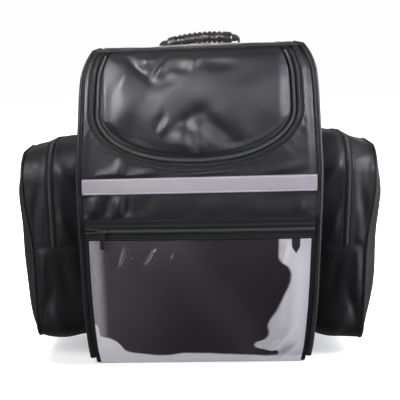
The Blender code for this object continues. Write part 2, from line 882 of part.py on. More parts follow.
def pocket_pull():
    """Pull tab with a rolled eye; its origin is on the eye's axis."""
    sides = 12
    vertices = []
    for x in (-EYE_LONG / 2.0, EYE_LONG / 2.0):
        for radius in (EYE_OUTER / 2.0, EYE_HOLE / 2.0):
            vertices += [(x, y, z) for y, z in circle(radius, sides)]
    faces = []
    for k in range(sides):
        n = (k + 1) % sides
        outer0, inner0, outer1, inner1 = 0, sides, 2 * sides, 3 * sides
        faces.append([outer0 + k, outer0 + n, outer1 + n, outer1 + k])
        faces.append([inner0 + k, inner1 + k, inner1 + n, inner0 + n])
        faces.append([outer0 + k, inner0 + k, inner0 + n, outer0 + n])
        faces.append([outer1 + k, outer1 + n, inner1 + n, inner1 + k])
    pull = make_object("pocket_pull", vertices, faces, "metal", smooth=30.0)
    neck = 0.40 * PULL_WIDE
    start = (EYE_HOLE + EYE_OUTER) / 4.0
    round_start = PULL_LONG - PULL_WIDE / 2.0
    half = [(neck / 2.0, -start), (neck / 2.0, -PULL_NECK), (PULL_WIDE / 2.0, -PULL_NECK - PULL_SHOULDER)]
    for i in range(5):
        angle = math.pi / 2.0 * i / 4
        half.append((PULL_WIDE / 2.0 * math.cos(angle), -round_start - PULL_WIDE / 2.0 * math.sin(angle)))
    outline = half + [(-x, z) for x, z in half[-2::-1]]
    rings = [
        [Vector((x, depth, z)) for x, z in outline]
        for depth in (-PULL_THICK / 2.0, PULL_THICK / 2.0)
    ]
    blade = loft("pull_blade", rings, "metal", smooth=20.0)
    combine(pull, blade, "UNION")
    hinge = bpy.data.objects.new("pull_hinge", None)
    bpy.context.scene.collection.objects.link(hinge)
    hinge.location = slider_origin(HINGE_LIFT)
    for piece in (pull, blade):
        piece.parent = hinge


# Handle

def top_height(x):
    """Height of the top panel's outer face at x, where the handle stands."""
    return settle(Vector((x, GRIP_Y, BODY_HEIGHT))).z


def grip_centre_z(x):
    share = (x - GRIP_X) / (GRIP_LONG / 2.0)
    lean = top_height(x) - BODY_HEIGHT
    return BODY_HEIGHT + GRIP_RISE - GRIP_HIGH / 2.0 - GRIP_SAG * share * share + lean


def grip_ring(x, deep):
    """Rounded section of the grip, drawn in by deep."""
    ring = []
    sides = 10
    for k in range(sides):
        angle = 2.0 * math.pi * (k + 0.5) / sides
        across = math.copysign(abs(math.cos(angle)) ** 0.8, math.cos(angle))
        up = math.copysign(abs(math.sin(angle)) ** 0.8, math.sin(angle))
        ring.append(Vector((
            x,
            GRIP_Y + across * (GRIP_WIDE / 2.0 - deep),
            grip_centre_z(x) + up * (GRIP_HIGH / 2.0 - deep),
        )))
    return ring


def handle_grip():
    """Moulded grip: a smooth cap at each end and ribs between them."""
    left = GRIP_X - GRIP_LONG / 2.0
    right = GRIP_X + GRIP_LONG / 2.0
    stations = [(left, RIB_DEEP), (left + 0.15 * CAP_LONG, 0.0), (left + 0.85 * CAP_LONG, 0.0)]
    ribs_from = left + CAP_LONG
    ribs_to = right - CAP_LONG
    pitch = (ribs_to - ribs_from) / RIBS
    for k in range(RIBS):
        start = ribs_from + k * pitch
        stations.append((start, RIB_DEEP))
        stations.append((start + 0.25 * pitch, 0.0))
        stations.append((start + 0.75 * pitch, 0.0))
    stations.append((ribs_to, RIB_DEEP))
    stations += [(right - 0.85 * CAP_LONG, 0.0), (right - 0.15 * CAP_LONG, 0.0), (right, RIB_DEEP)]
    loft("handle_grip", [grip_ring(x, deep) for x, deep in stations], "moulded")


def base_top(x):
    """Top face of the woven patch under the handle."""
    return top_height(x) + GAP + HANDLE_WEB_THICK


def handle_base():
    """Woven patch that both ends of the handle are sewn to."""
    half = GRIP_LONG / 2.0 + HANDLE_FOOT_OUT

    def place(u, v, side):
        x = GRIP_X + lerp(-half, half, v)
        y = GRIP_Y + lerp(-0.5, 0.5, u) * PATCH_WIDE
        return Vector((x, y, base_top(x) - HANDLE_WEB_THICK * side))

    slab("handle_base", 1, 8, place, "webbing")


def handle_webs():
    """Webbing from each end of the grip down to the patch."""
    half = HANDLE_WEB_WIDE / 2.0
    for word, side in (("left", -1), ("right", 1)):
        end = GRIP_X + side * (GRIP_LONG / 2.0 + GAP)
        foot = end + side * (HANDLE_FOOT_OUT - 0.5 * HANDLE_WEB_THICK)
        start_z = grip_centre_z(end)
        foot_z = base_top(foot) + GAP
        rings = []
        steps = 6
        for i in range(steps + 1):
            angle = math.pi / 2.0 * i / steps
            centre_x = end + (foot - end) * math.sin(angle)
            centre_z = foot_z + (start_z - foot_z) * math.cos(angle)
            slope = Vector(((foot - end) * math.cos(angle), 0.0, -(start_z - foot_z) * math.sin(angle)))
            slope.normalize()
            across = Vector((-slope.z, 0.0, slope.x)) * (HANDLE_WEB_THICK / 2.0)
            centre = Vector((centre_x, GRIP_Y, centre_z))
            wide = Vector((0.0, half, 0.0))
            rings.append([
                centre + across - wide,
                centre + across + wide,
                centre - across + wide,
                centre - across - wide,
            ])
        loft("handle_web_" + word, rings, "webbing")


# Side pockets

def side_outline(inset):
    """Side view of a pocket from its front seam, over the top and round, as y, z and normal."""
    points = []
    half = SIDE_DEPTH / 2.0
    quarter = math.pi / 2.0
    corners = (
        (-half, SIDE_TOP_Z, SIDE_TOP_ROUND, 2 * quarter, 6),
        (half, SIDE_TOP_Z, SIDE_TOP_ROUND, quarter, 6),
        (half, SIDE_BOTTOM_Z, SIDE_BOTTOM_ROUND, 0.0, 4),
        (-half, SIDE_BOTTOM_Z, SIDE_BOTTOM_ROUND, -quarter, 4),
    )
    middle = (SIDE_SEAM_Z, SIDE_SEAM_Z)
    points.append((-half + inset, middle[0], -1.0, 0.0))
    points.append((-half + inset, lerp(middle[0], SIDE_TOP_Z - SIDE_TOP_ROUND, 0.5), -1.0, 0.0))
    for index, (y, z, radius, start, steps) in enumerate(corners):
        centre_y = y - math.copysign(radius, y)
        centre_z = z - radius if index < 2 else z + radius
        for i in range(steps + 1):
            angle = start - quarter * i / steps
            normal_y = math.cos(angle)
            normal_z = math.sin(angle)
            points.append((
                centre_y + normal_y * (radius - inset),
                centre_z + normal_z * (radius - inset),
                normal_y,
                normal_z,
            ))
        if index == 0:
            points.append((0.0, SIDE_TOP_Z - inset, 0.0, 1.0))
        if index == 1:
            points.append((half - inset, lerp(middle[1], SIDE_TOP_Z - SIDE_TOP_ROUND, 0.5), 1.0, 0.0))
            points.append((half - inset, middle[1], 1.0, 0.0))
            points.append((half - inset, lerp(middle[1], SIDE_BOTTOM_Z + SIDE_BOTTOM_ROUND, 0.5), 1.0, 0.0))
        if index == 2:
            points.append((0.0, SIDE_BOTTOM_Z + inset, 0.0, -1.0))
    points.append((-half + inset, lerp(middle[0], SIDE_BOTTOM_Z + SIDE_BOTTOM_ROUND, 0.5), -1.0, 0.0))
    return points


SIDE_PATH = side_outline(0.0)
SIDE_REAR_SEAM = next(
    i for i, (y, z, normal_y, _) in enumerate(SIDE_PATH) if normal_y == 1.0 and z == SIDE_SEAM_Z
)


def side_share(z):
    return (z - SIDE_BOTTOM_Z) / (SIDE_TOP_Z - SIDE_BOTTOM_Z)


def rim_out(z):
    """How far a side pocket's rim stands out from the side panel."""
    return SIDE_REACH * read_table(SIDE_RIM, side_share(z))


def hang(direction, share, z):
    """How far a pocket hangs: its top rises at the body and drops at the rim, its foot sags."""
    top = ease((side_share(z) - 0.55) / 0.45) * lerp(SIDE_RISE[direction], -SIDE_DROP[direction], ease(share))
    foot = SIDE_SAG[direction] * share * share * ease(1.0 - side_share(z) / 0.7)
    return top - foot


def gusset_point(direction, row, out, lift):
    """Point on a side pocket's gusset: out from the side panel, lift off its face."""
    y, z, normal_y, normal_z = row
    share = min(1.0, max(0.0, out / rim_out(z)))
    total = lift + SIDE_PUFF * math.sin(math.pi * share)
    x = side_face(z) + GAP + out
    height = z + normal_z * total + hang(direction, share, z)
    return settle(Vector((direction * x, y + normal_y * total, height)))


def gusset_panel(name, direction, rows, out_from, out_to, columns):
    """Stretch of gusset; out_from and out_to give its edges from the rim's reach."""
    def place(u, v, side):
        row = rows[round(u * (len(rows) - 1))]
        reach = rim_out(row[1])
        out = lerp(out_from(reach), out_to(reach), v)
        return gusset_point(direction, row, out, -CLOTH * side)

    slab(name, len(rows) - 1, columns, place, "nylon")


def shifted_end(rows, index, neighbour):
    """Rows with one end drawn back by half the gap towards its neighbour."""
    rows = list(rows)
    end = rows[index]
    beside = rows[neighbour]
    length = math.dist(end[:2], beside[:2])
    share = 0.5 * GAP / length
    rows[index] = tuple(lerp(a, b, share) for a, b in zip(end, beside))
    return rows


def side_zip(name, direction, rows):
    half = SIDE_ZIP_WIDE / 2.0
    section = (
        (-half + GAP, 0.0),
        (-0.25 * half, 0.0),
        (0.0, COIL_HIGH + GAP),
        (0.25 * half, 0.0),
        (half - GAP, 0.0),
        (half - GAP, -CLOTH),
        (-half + GAP, -CLOTH),
    )
    rings = [
        [gusset_point(direction, row, SIDE_ZIP_OUT + across, lift) for across, lift in section]
        for row in rows
    ]
    loft(name, rings, "zip")


def side_rim_cord(name, direction):
    """Cord in the seam between a pocket's gusset and its outer panel."""
    radius = SIDE_CORD / 2.0
    rings = []
    sides = 6
    for y, z, normal_y, normal_z in SIDE_PATH:
        centre_x = side_face(z) + GAP + rim_out(z) + GAP + radius
        ring = []
        for k in range(sides):
            angle = 2.0 * math.pi * (k + 0.5) / sides
            x = centre_x + math.cos(angle) * radius
            lift = math.sin(angle) * radius - 0.6 * radius
            height = z + normal_z * lift + hang(direction, 1.0, z)
            ring.append(settle(Vector((direction * x, y + normal_y * lift, height))))
        rings.append(ring)
    loft(name, rings, "cord", closed=True, smooth=70.0)


def side_outer(name, direction):
    """Outer panel of a side pocket, swelling between its cords."""
    inset = 1.6 * SIDE_CORD / 2.0 + GAP
    edge = side_outline(inset)
    shares = (1.0, 0.90, 0.70, 0.40)
    middle_z = (SIDE_TOP_Z + SIDE_BOTTOM_Z) / 2.0
    count = len(edge)

    def point(ring, k, inner):
        share = shares[ring] if ring < len(shares) else 0.0
        y = edge[k][0] * share
        z = lerp(middle_z, edge[k][1], share)
        dome = 1.0 - share ** 3
        belly = SIDE_SWELL * read_table(SIDE_BELLY[direction], side_share(z)) * dome
        x = side_face(z) + GAP + rim_out(z) + GAP + 0.7 * SIDE_CORD + belly - CLOTH * inner
        return settle(Vector((direction * x, y, z + hang(direction, 1.0, z))))

    vertices = []
    faces = []
    layer = len(shares) * count + 1
    for inner in (0, 1):
        for ring in range(len(shares)):
            vertices += [point(ring, k, inner) for k in range(count)]
        vertices.append(point(len(shares), 0, inner))
    for inner in (0, 1):
        base = inner * layer
        for k in range(count):
            n = (k + 1) % count
            for ring in range(len(shares) - 1):
                here = base + ring * count
                there = here + count
                faces.append([here + k, here + n, there + n, there + k])
            last = base + (len(shares) - 1) * count
            faces.append([last + k, last + n, base + layer - 1])
    for k in range(count):
        n = (k + 1) % count
        faces.append([k, n, layer + n, layer + k])
    make_object(name, vertices, faces, "nylon")


def side_slider(name, direction):
    """Plain slider on the hidden rear stretch of a side pocket's zip."""
    row = SIDE_PATH[SIDE_REAR_SEAM - 1]
    seat = gusset_point(direction, row, SIDE_ZIP_OUT, COIL_HIGH + 2.0 * GAP)
    block(
        name,
        (seat.x - SLIDER_HIGH / 2.0, seat.y, seat.z - SLIDER_LONG / 2.0),
        (SLIDER_HIGH, SLIDER_THICK, SLIDER_LONG),
        "metal",
    )


def side_pocket(word, direction):
    upper = SIDE_PATH[:SIDE_REAR_SEAM + 1]
    lower = SIDE_PATH[SIDE_REAR_SEAM:] + SIDE_PATH[:1]
    upper = shifted_end(shifted_end(upper, 0, 1), -1, -2)
    lower = shifted_end(shifted_end(lower, 0, 1), -1, -2)
    zip_half = SIDE_ZIP_WIDE / 2.0
    gusset_panel(word + "_gusset_inner", direction, upper, lambda reach: 0.0,
                 lambda reach: SIDE_ZIP_OUT - zip_half, 2)
    gusset_panel(word + "_gusset_outer", direction, upper, lambda reach: SIDE_ZIP_OUT + zip_half,
                 lambda reach: reach, 2)
    gusset_panel(word + "_gusset_lower", direction, lower, lambda reach: 0.0,
                 lambda reach: reach, 4)
    side_zip(word + "_pocket_zip", direction, upper)
    side_slider(word + "_pocket_slider", direction)
    side_rim_cord(word + "_pocket_cord", direction)
    side_outer(word + "_pocket_panel", direction)


# Shoulder straps, on the back

def strap_centre(share, direction):
    """Middle line of a padded strap, from its top anchor down."""
    z = lerp(BODY_HEIGHT - STRAP_DROP, STRAP_END_Z, share)
    y = BACK_Y + GAP + STRAP_THICK / 2.0 + STRAP_STAND * read_table(STRAP_ARCH, share)
    x = direction * (STRAP_X + STRAP_SPREAD * share * share)
    return Vector((x, y, z))


def strap_frame(share, direction):
    ahead = strap_centre(min(1.0, share + 0.01), direction)
    behind = strap_centre(max(0.0, share - 0.01), direction)
    along = (ahead - behind).normalized()
    across = Vector((1.0, 0.0, 0.0))
    across = (across - along * across.dot(along)).normalized()
    out = along.cross(across)
    if out.y < 0.0:
        out = -out
    return across, out, along


def strap_ring(centre, across, out, wide, thick):
    bevel = 0.25 * thick
    outline = (
        (-wide, -thick + bevel), (-wide + bevel, -thick), (wide - bevel, -thick), (wide, -thick + bevel),
        (wide, thick - bevel), (wide - bevel, thick), (-wide + bevel, thick), (-wide, thick - bevel),
    )
    return [centre + across * x + out * y for x, y in outline]


def shoulder_strap(word, direction):
    half = STRAP_WIDE / 2.0
    thick = STRAP_THICK / 2.0
    upright = Vector((0.0, 0.0, 1.0))
    straight = Vector((1.0, 0.0, 0.0))
    outward = Vector((0.0, 1.0, 0.0))
    top = strap_centre(0.0, direction)
    rings = [strap_ring(top + upright * STRAP_SEWN, straight, outward, half, thick)]
    steps = 14
    for i in range(steps + 1):
        share = i / steps
        centre = strap_centre(share, direction)
        across, out, _ = strap_frame(share, direction)
        blend = ease(share / 0.12)
        out = outward.lerp(out, blend).normalized()
        narrow = lerp(1.0, 0.72, ease((share - 0.7) / 0.3))
        rings.append(strap_ring(centre, across, out, half * narrow, thick))
    loft("shoulder_strap_" + word, rings, "nylon")
    strap_buckle(word, direction)


def strap_buckle(word, direction):
    """Ladder buckle at the strap's end and the webbing from it to the base."""
    end = strap_centre(1.0, direction)
    across, out, along = strap_frame(1.0, direction)
    turn = Matrix((across, out, along)).transposed().to_4x4()
    middle = end + along * (GAP + BUCKLE_LONG / 2.0)
    seat = Matrix.Translation(middle) @ turn
    name = "strap_buckle_" + word
    body = block(
        name,
        (-BUCKLE_WIDE / 2.0, -BUCKLE_THICK / 2.0, -BUCKLE_LONG / 2.0),
        (BUCKLE_WIDE, BUCKLE_THICK, BUCKLE_LONG),
        "moulded",
    )
    body.matrix_world = seat
    for index, place in enumerate((-0.25, 0.25)):
        slot = block(
            name + "_slot_" + str(index),
            (-STRAP_WEB_WIDE / 2.0 - GAP, -BUCKLE_THICK, place * BUCKLE_LONG - BUCKLE_SLOT / 2.0),
            (STRAP_WEB_WIDE + 2.0 * GAP, 2.0 * BUCKLE_THICK, BUCKLE_SLOT),
            "moulded",
        )
        slot.matrix_world = seat
        combine(body, slot, "DIFFERENCE")
    start = middle + along * (BUCKLE_LONG / 2.0 + GAP)
    foot = Vector((end.x + direction * STRAP_FOOT_OUT, BACK_Y + GAP + WEBBING / 2.0, STRAP_FOOT_Z))
    sewn = foot - Vector((0.0, 0.0, STRAP_SEWN))
    upright = Vector((0.0, 0.0, -1.0))
    reach = 0.5 * (start - foot).length
    rings = []
    steps = 10
    for i in range(steps + 1):
        u = i / steps
        bends = (start, start + along * reach * 0.6, foot - upright * reach * 0.7, foot)
        weights = ((1 - u) ** 3, 3 * u * (1 - u) ** 2, 3 * u * u * (1 - u), u ** 3)
        centre = sum((bend * weight for bend, weight in zip(bends, weights)), Vector())
        slopes = (3 * (1 - u) ** 2, 6 * u * (1 - u), 3 * u * u)
        pairs = zip(bends, bends[1:])
        heading = sum(((b - a) * slope for (a, b), slope in zip(pairs, slopes)), Vector()).normalized()
        side = Vector((1.0, 0.0, 0.0))
        side = (side - heading * side.dot(heading)).normalized()
        outwards = side.cross(heading)
        if outwards.y < 0.0:
            outwards = -outwards
        rings.append(web_ring(centre, side, outwards))
    rings.append(web_ring(sewn, Vector((1.0, 0.0, 0.0)), Vector((0.0, 1.0, 0.0))))
    loft("strap_webbing_" + word, rings, "webbing")


def web_ring(centre, side, out):
    wide = side * (STRAP_WEB_WIDE / 2.0)
    deep = out * (WEBBING / 2.0)
    return [centre - wide - deep, centre + wide - deep, centre + wide + deep, centre - wide + deep]


def lid_slider():
    """Plain slider parked at the lid zip's right end, behind the top webbing."""
    points = mouth_points((COIL_FROM + COIL_FROM + COIL_WIDE) / 2.0)
    x = points[-2][0]
    seat = settle(Vector((x, RIDGE_Y + LID_OVER_RIDGE / 2.0, BODY_HEIGHT + GAP)))
    lean = SHOULDER_RISE * SLIDER_HIGH / BODY_HALF
    block(
        "lid_slider",
        (seat.x - SLIDER_HIGH / 2.0, seat.y - SLIDER_LONG / 2.0, seat.z + lean),
        (SLIDER_HIGH, SLIDER_LONG, SLIDER_THICK),
        "metal",
    )


def clear_scene():
    for obj in list(bpy.data.objects):
        bpy.data.objects.remove(obj, do_unlink=True)


def build():
    clear_scene()
    band_panel("front_panel", spread(T_FRONT, T_SEAM, PITCH_FLAT))
    upper_front()
    band_panel("top_panel", stations_through(
        (T_LID_END, T_TOP_END, PITCH_FLAT),
        (T_TOP_END, T_BACK, PITCH_CURVE),
    ))
    back_panel()
    band_panel("bottom_panel", stations_through(
        (T_BACK_END, T_BOTTOM, PITCH_ROUND),
        (T_BOTTOM, ROUND_TRIP, PITCH_FLAT),
        (ROUND_TRIP, ROUND_TRIP + T_FRONT, PITCH_ROUND),
    ))
    lid_zip()
    lid_flap()
    ridge_webbing()
    lid_slider()
    seam_cords()
    side_panels()
    reflective_strip()
    pocket_zip()
    clear_pocket()
    pocket_slider()
    pocket_pull()
    handle_base()
    handle_grip()
    handle_webs()
    for word, direction in (("left", -1), ("right", 1)):
        side_pocket(word, direction)
        shoulder_strap(word, direction)


build()
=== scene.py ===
"""Insulated delivery backpack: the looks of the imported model.

Metres, in the frame of the solids: +Z is up, the front faces -Y and +X is on the
viewer's right. Cloth is laid out as in the solids, by x across the padded band and
by t, the length along it from the front edge of the base. Every sewn piece carries
its own flat layout in metres as the attribute "cloth", which its weave follows.
"""
import json
import math

import bmesh
import bpy
import numpy as np
from mathutils import Matrix, Vector


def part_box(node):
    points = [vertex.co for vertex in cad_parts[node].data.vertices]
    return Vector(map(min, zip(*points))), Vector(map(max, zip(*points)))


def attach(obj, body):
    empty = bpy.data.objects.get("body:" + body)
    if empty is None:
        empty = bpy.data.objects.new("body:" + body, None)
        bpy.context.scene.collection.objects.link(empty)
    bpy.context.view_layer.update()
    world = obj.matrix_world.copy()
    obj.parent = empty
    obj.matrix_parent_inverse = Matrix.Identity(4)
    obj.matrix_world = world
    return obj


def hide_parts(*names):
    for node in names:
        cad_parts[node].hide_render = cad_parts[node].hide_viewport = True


bl_info = {
    "name": "Delivery Backpack",
    "version": (1, 0, 0),
    "blender": (4, 5, 0),
    "location": "View3D > Sidebar > Backpack",
    "description": "Dresses an insulated delivery backpack in cloth, zips, webbing and clear vinyl",
    "category": "Object",
}

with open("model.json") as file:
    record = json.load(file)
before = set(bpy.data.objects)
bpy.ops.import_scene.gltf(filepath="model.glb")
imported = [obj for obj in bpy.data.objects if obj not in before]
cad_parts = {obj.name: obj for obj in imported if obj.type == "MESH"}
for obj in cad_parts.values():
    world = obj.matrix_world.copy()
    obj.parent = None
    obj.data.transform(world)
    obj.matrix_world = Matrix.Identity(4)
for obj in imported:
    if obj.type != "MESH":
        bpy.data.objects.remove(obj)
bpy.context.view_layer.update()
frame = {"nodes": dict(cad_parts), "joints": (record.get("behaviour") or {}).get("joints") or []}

# Body, the sizes of the solids
BODY_WIDTH = 0.369
BODY_HEIGHT = 0.502
BODY_DEPTH = 0.250
WALL = 0.005
BASE_ROUND = 0.010
SHOULDER_Z = 0.300
CURVE_POWER = 2.6
BACK_ROUND = 0.035
SHOULDER_RISE = 0.0055
FRONT_SWELL = 0.005
BODY_HALF = BODY_WIDTH / 2.0
FRONT_Y = -BODY_DEPTH / 2.0
BACK_Y = BODY_DEPTH / 2.0
WEBBING = 0.002
RIDGE_Y = FRONT_Y + 0.070
GAP = 0.0003

# Seams, lid, zips and tapes
SEAM_WIDE = 0.009
SEAM_DEEP = 0.007
SEAM_PROUD = 0.0005
SEAM_OVER_PANEL = 0.0008
MOUTH_MARGIN = 0.0107
MOUTH_CENTRE = -0.005
MOUTH_BOTTOM_Z = 0.313
MOUTH_ARC = 0.094
MOUTH_POWER = 2.15
ZIP_WIDTH = 0.021
LID_OVER_RIDGE = 0.030
LID_PUFF = 0.006
LID_EDGE = 0.022
RIDGE_WEB_WIDE = 0.010
RIDGE_WEB_BACK = 0.018
STRIP_Z = 0.289
STRIP_WIDE = 0.025
TAPE_Z = 0.2195
TAPE_WIDE = 0.035
CHAIN_Z = 0.2175
STRIP_LOW = STRIP_Z - STRIP_WIDE / 2.0
STRIP_HIGH = STRIP_Z + STRIP_WIDE / 2.0
TAPE_LOW = TAPE_Z - TAPE_WIDE / 2.0
TAPE_HIGH = TAPE_Z + TAPE_WIDE / 2.0
SLIDER_X = 0.0305 - BODY_HALF
WINDOW_FOOT_Z = 0.011
WINDOW_MARGIN = 0.007
WINDOW_PUFF = 0.010

# Handle
GRIP_X = 0.0025
GRIP_Y = FRONT_Y + 0.091
GRIP_LONG = 0.104
GRIP_WIDE = 0.028
GRIP_HIGH = 0.0185
GRIP_RISE = 0.0238
GRIP_SAG = 0.0034
GRIP_LEFT_SAG = 0.0058
CAP_LONG = 0.016
RIBS = 9
HANDLE_WEB_WIDE = 0.025
HANDLE_WEB_THICK = 0.0022
HANDLE_FOOT_OUT = 0.0125

# Side pockets
SIDE_DEPTH = 0.180
SIDE_TOP_Z = 0.350
SIDE_BOTTOM_Z = 0.034
SIDE_TOP_ROUND = 0.045
SIDE_BOTTOM_ROUND = 0.030
SIDE_REACH = 0.088
SIDE_SEAM_Z = 0.186
SIDE_SWELL = 0.024
SIDE_PUFF = 0.006
SIDE_ZIP_WIDE = 0.014
SIDE_ZIP_OUT = 0.046
SIDE_CORD = 0.005
# Hang of the left and right pockets: rise of the top at the body, its drop and the foot's at the rim
SIDE_RISE = {-1: 0.005, 1: 0.006}
SIDE_DROP = {-1: 0.009, 1: 0.013}
SIDE_SAG = {-1: 0.002, 1: 0.012}

# Shoulder straps
STRAP_X = 0.085
STRAP_DROP = 0.077
STRAP_WIDE = 0.058
STRAP_THICK = 0.010
STRAP_STAND = 0.042
STRAP_END_Z = 0.185
STRAP_SPREAD = 0.030
STRAP_FOOT_Z = 0.060
STRAP_SEWN = 0.030
STRAP_WEB_WIDE = 0.025
STRAP_FOOT_OUT = 0.004
BUCKLE_LONG = 0.030

# Back panel: half width, foot and top of its flat pad, its upright channels and the cross seams
PAD_HALF = 0.050
PAD_LOW_Z = 0.048
PAD_HIGH_Z = 0.442
PAD_SLOPE = 0.003
CHANNEL_NEAR = 0.052
CHANNEL_FAR = 0.128
CHANNEL_DEEP = 0.0022
CHANNEL_REACH = 0.0045
CROSS_SEAM_Z = 0.020
CROSS_SEAM_PITCH = 0.110

# Thickness, settling and shaping of the dressed pieces
PANEL_SINK = 0.0006
LID_THICK = 0.004
LID_DOME = 0.0030
LID_DOME_REACH = 0.075
POCKET_THICK = 0.002
STRIP_THICK = 0.0008
WINDOW_THICK = 0.0006
WINDOW_LOWEST = 0.0009
SEAM_REACH = 0.014
FRAME_SEAM_SINK_RIGHT = 0.0046
FRAME_SEAM_SINK_LEFT = -0.0012
RIB_DEEP = 0.0019
CAP_ROUND = 0.0030
PATCH_CROWN = 0.0026
PULL_EYE = 0.0015
BUCKLE_EDGE = 0.0011

# Stitches: pitch along a seam, tighter pitch on the trims, and how far their lines lie from the middle
STITCH_PITCH = 0.0036
ROW_PITCH = 0.0034
STRIP_SEWN_AT = 0.0105
CHAIN_SEWN_AT = 0.0085
TAPE_SEWN_IN = 0.0030
EDGING_SEWN_AT = 0.0036
HANDLE_SEWN_AT = 0.010
GUSSET_SEWN_AT = 0.0095

# Words and directions of the two sides
SIDES = (("left", -1), ("right", 1))

# Whole and quarter turn
WHOLE = 2.0 * math.pi
QUARTER = math.pi / 2.0

# Half width of the band up the body: share of the height, share of the half width
WIDTHS = (
    (0.000, 0.900), (0.060, 0.932), (0.200, 0.966), (0.400, 0.988), (0.620, 1.000),
    (0.780, 0.972), (0.890, 0.958), (0.930, 0.946), (0.967, 0.915), (1.000, 0.868),
)
# Rim of a side pocket: share of its height, share of the reach. Swell of the left and the
# right pocket's outer panel: share of the height, share of the swell
SIDE_RIM = ((0.00, 0.900), (0.25, 0.870), (0.48, 0.870), (0.72, 0.970), (1.00, 1.000))
SIDE_BELLY = {
    -1: ((0.00, 0.85), (0.35, 0.80), (0.60, 0.68), (0.84, 0.66), (1.00, 0.45)),
    1: ((0.00, 0.75), (0.35, 1.00), (0.60, 0.90), (1.00, 0.45)),
}
# Arch of a shoulder strap: share of its drop, share of its stand off the back
STRAP_ARCH = ((0.00, 0.00), (0.08, 0.42), (0.22, 0.86), (0.45, 1.00), (0.75, 0.86), (1.00, 0.60))

# Folds of the lid: x, height on the cloth above the mouth's foot, half length and half
# width in metres, turn from level in degrees, height in metres
LID_FOLDS = (
    (-0.096, 0.162, 0.030, 0.0090, -44.0, -0.0062),
    (-0.068, 0.158, 0.022, 0.0080, 68.0, -0.0056),
    (-0.083, 0.170, 0.012, 0.0075, 10.0, 0.0036),
    (-0.060, 0.157, 0.018, 0.0060, 50.0, 0.0052),
    (-0.050, 0.142, 0.020, 0.0120, 24.0, -0.0046),
    (-0.030, 0.160, 0.022, 0.0090, -8.0, -0.0042),
    (-0.007, 0.167, 0.014, 0.0075, 48.0, 0.0046),
    (0.032, 0.164, 0.030, 0.0110, -4.0, -0.0040),
    (0.078, 0.148, 0.034, 0.0150, 18.0, -0.0030),
    (-0.118, 0.142, 0.026, 0.0110, 62.0, 0.0034),
    (-0.053, 0.069, 0.013, 0.0060, 58.0, 0.0034),
    (-0.060, 0.077, 0.012, 0.0075, 62.0, -0.0032),
    (-0.018, 0.078, 0.032, 0.0120, 30.0, -0.0064),
    (0.020, 0.070, 0.034, 0.0130, -42.0, -0.0066),
    (-0.010, 0.052, 0.030, 0.0090, -64.0, -0.0042),
    (0.004, 0.030, 0.020, 0.0060, -78.0, 0.0046),
    (-0.026, 0.040, 0.024, 0.0120, -72.0, 0.0026),
    (0.046, 0.044, 0.042, 0.0180, -38.0, -0.0040),
    (0.094, 0.062, 0.036, 0.0180, 40.0, -0.0030),
    (-0.100, 0.060, 0.034, 0.0170, -52.0, -0.0030),
    (-0.120, 0.095, 0.050, 0.0200, 76.0, 0.0034),
)
# Folds of the cloth round the lid and below it: x, height above the base, the same sizes
FRONT_FOLDS = (
    (-0.128, 0.312, 0.018, 0.0090, 66.0, 0.0042),
    (-0.100, 0.304, 0.024, 0.0070, 14.0, 0.0034),
    (-0.150, 0.306, 0.014, 0.0070, 30.0, 0.0022),
    (0.010, 0.3055, 0.020, 0.0032, 6.0, 0.0020),
    (0.140, 0.312, 0.034, 0.0070, 12.0, 0.0022),
    (-0.166, 0.256, 0.022, 0.0075, 84.0, 0.0038),
    (-0.146, 0.256, 0.018, 0.0060, 84.0, -0.0022),
    (-0.128, 0.256, 0.022, 0.0065, 82.0, 0.0046),
    (-0.114, 0.254, 0.018, 0.0055, 88.0, -0.0020),
    (-0.072, 0.252, 0.016, 0.0100, 76.0, 0.0014),
    (0.014, 0.254, 0.018, 0.0090, 74.0, 0.0012),
    (0.088, 0.250, 0.014, 0.0100, 70.0, 0.0014),
    (0.158, 0.252, 0.012, 0.0060, 66.0, 0.0020),
)
# Ripples of the clear window: x, height above the base, the same sizes
WINDOW_FOLDS = (
    (-0.118, 0.176, 0.026, 0.0060, 78.0, 0.0030),
    (-0.100, 0.172, 0.030, 0.0055, 112.0, -0.0030),
    (-0.074, 0.176, 0.024, 0.0060, 62.0, 0.0034),
    (-0.048, 0.180, 0.018, 0.0050, 76.0, -0.0026),
    (-0.022, 0.182, 0.016, 0.0050, 96.0, 0.0026),
    (0.042, 0.182, 0.016, 0.0060, 90.0, 0.0026),
    (0.092, 0.184, 0.014, 0.0080, 90.0, -0.0018),
    (0.130, 0.176, 0.018, 0.0060, 70.0, 0.0028),
    (-0.080, 0.100, 0.060, 0.0200, -50.0, 0.0026),
    (0.020, 0.070, 0.056, 0.0200, 30.0, -0.0026),
    (0.126, 0.120, 0.060, 0.0120, 84.0, 0.0026),
    (0.118, 0.030, 0.036, 0.0060, 46.0, 0.0050),
    (0.134, 0.022, 0.026, 0.0045, 34.0, -0.0044),
    (0.146, 0.024, 0.022, 0.0040, 40.0, 0.0044),
    (0.152, 0.012, 0.020, 0.0035, 20.0, -0.0030),
)


# Curves and the body's skin

def lerp(a, b, share):
    return a + (b - a) * share


def unit(vectors):
    """Vectors made one long."""
    return vectors / np.linalg.norm(vectors, axis=-1, keepdims=True)


def run_along(points):
    """Length along a line of points, from 0 at its start."""
    return np.concatenate([[0.0], np.cumsum(np.linalg.norm(np.diff(points, axis=0), axis=1))])


def ease(share):
    """Smooth step from 0 to 1."""
    share = np.clip(share, 0.0, 1.0)
    return share * share * (3.0 - 2.0 * share)


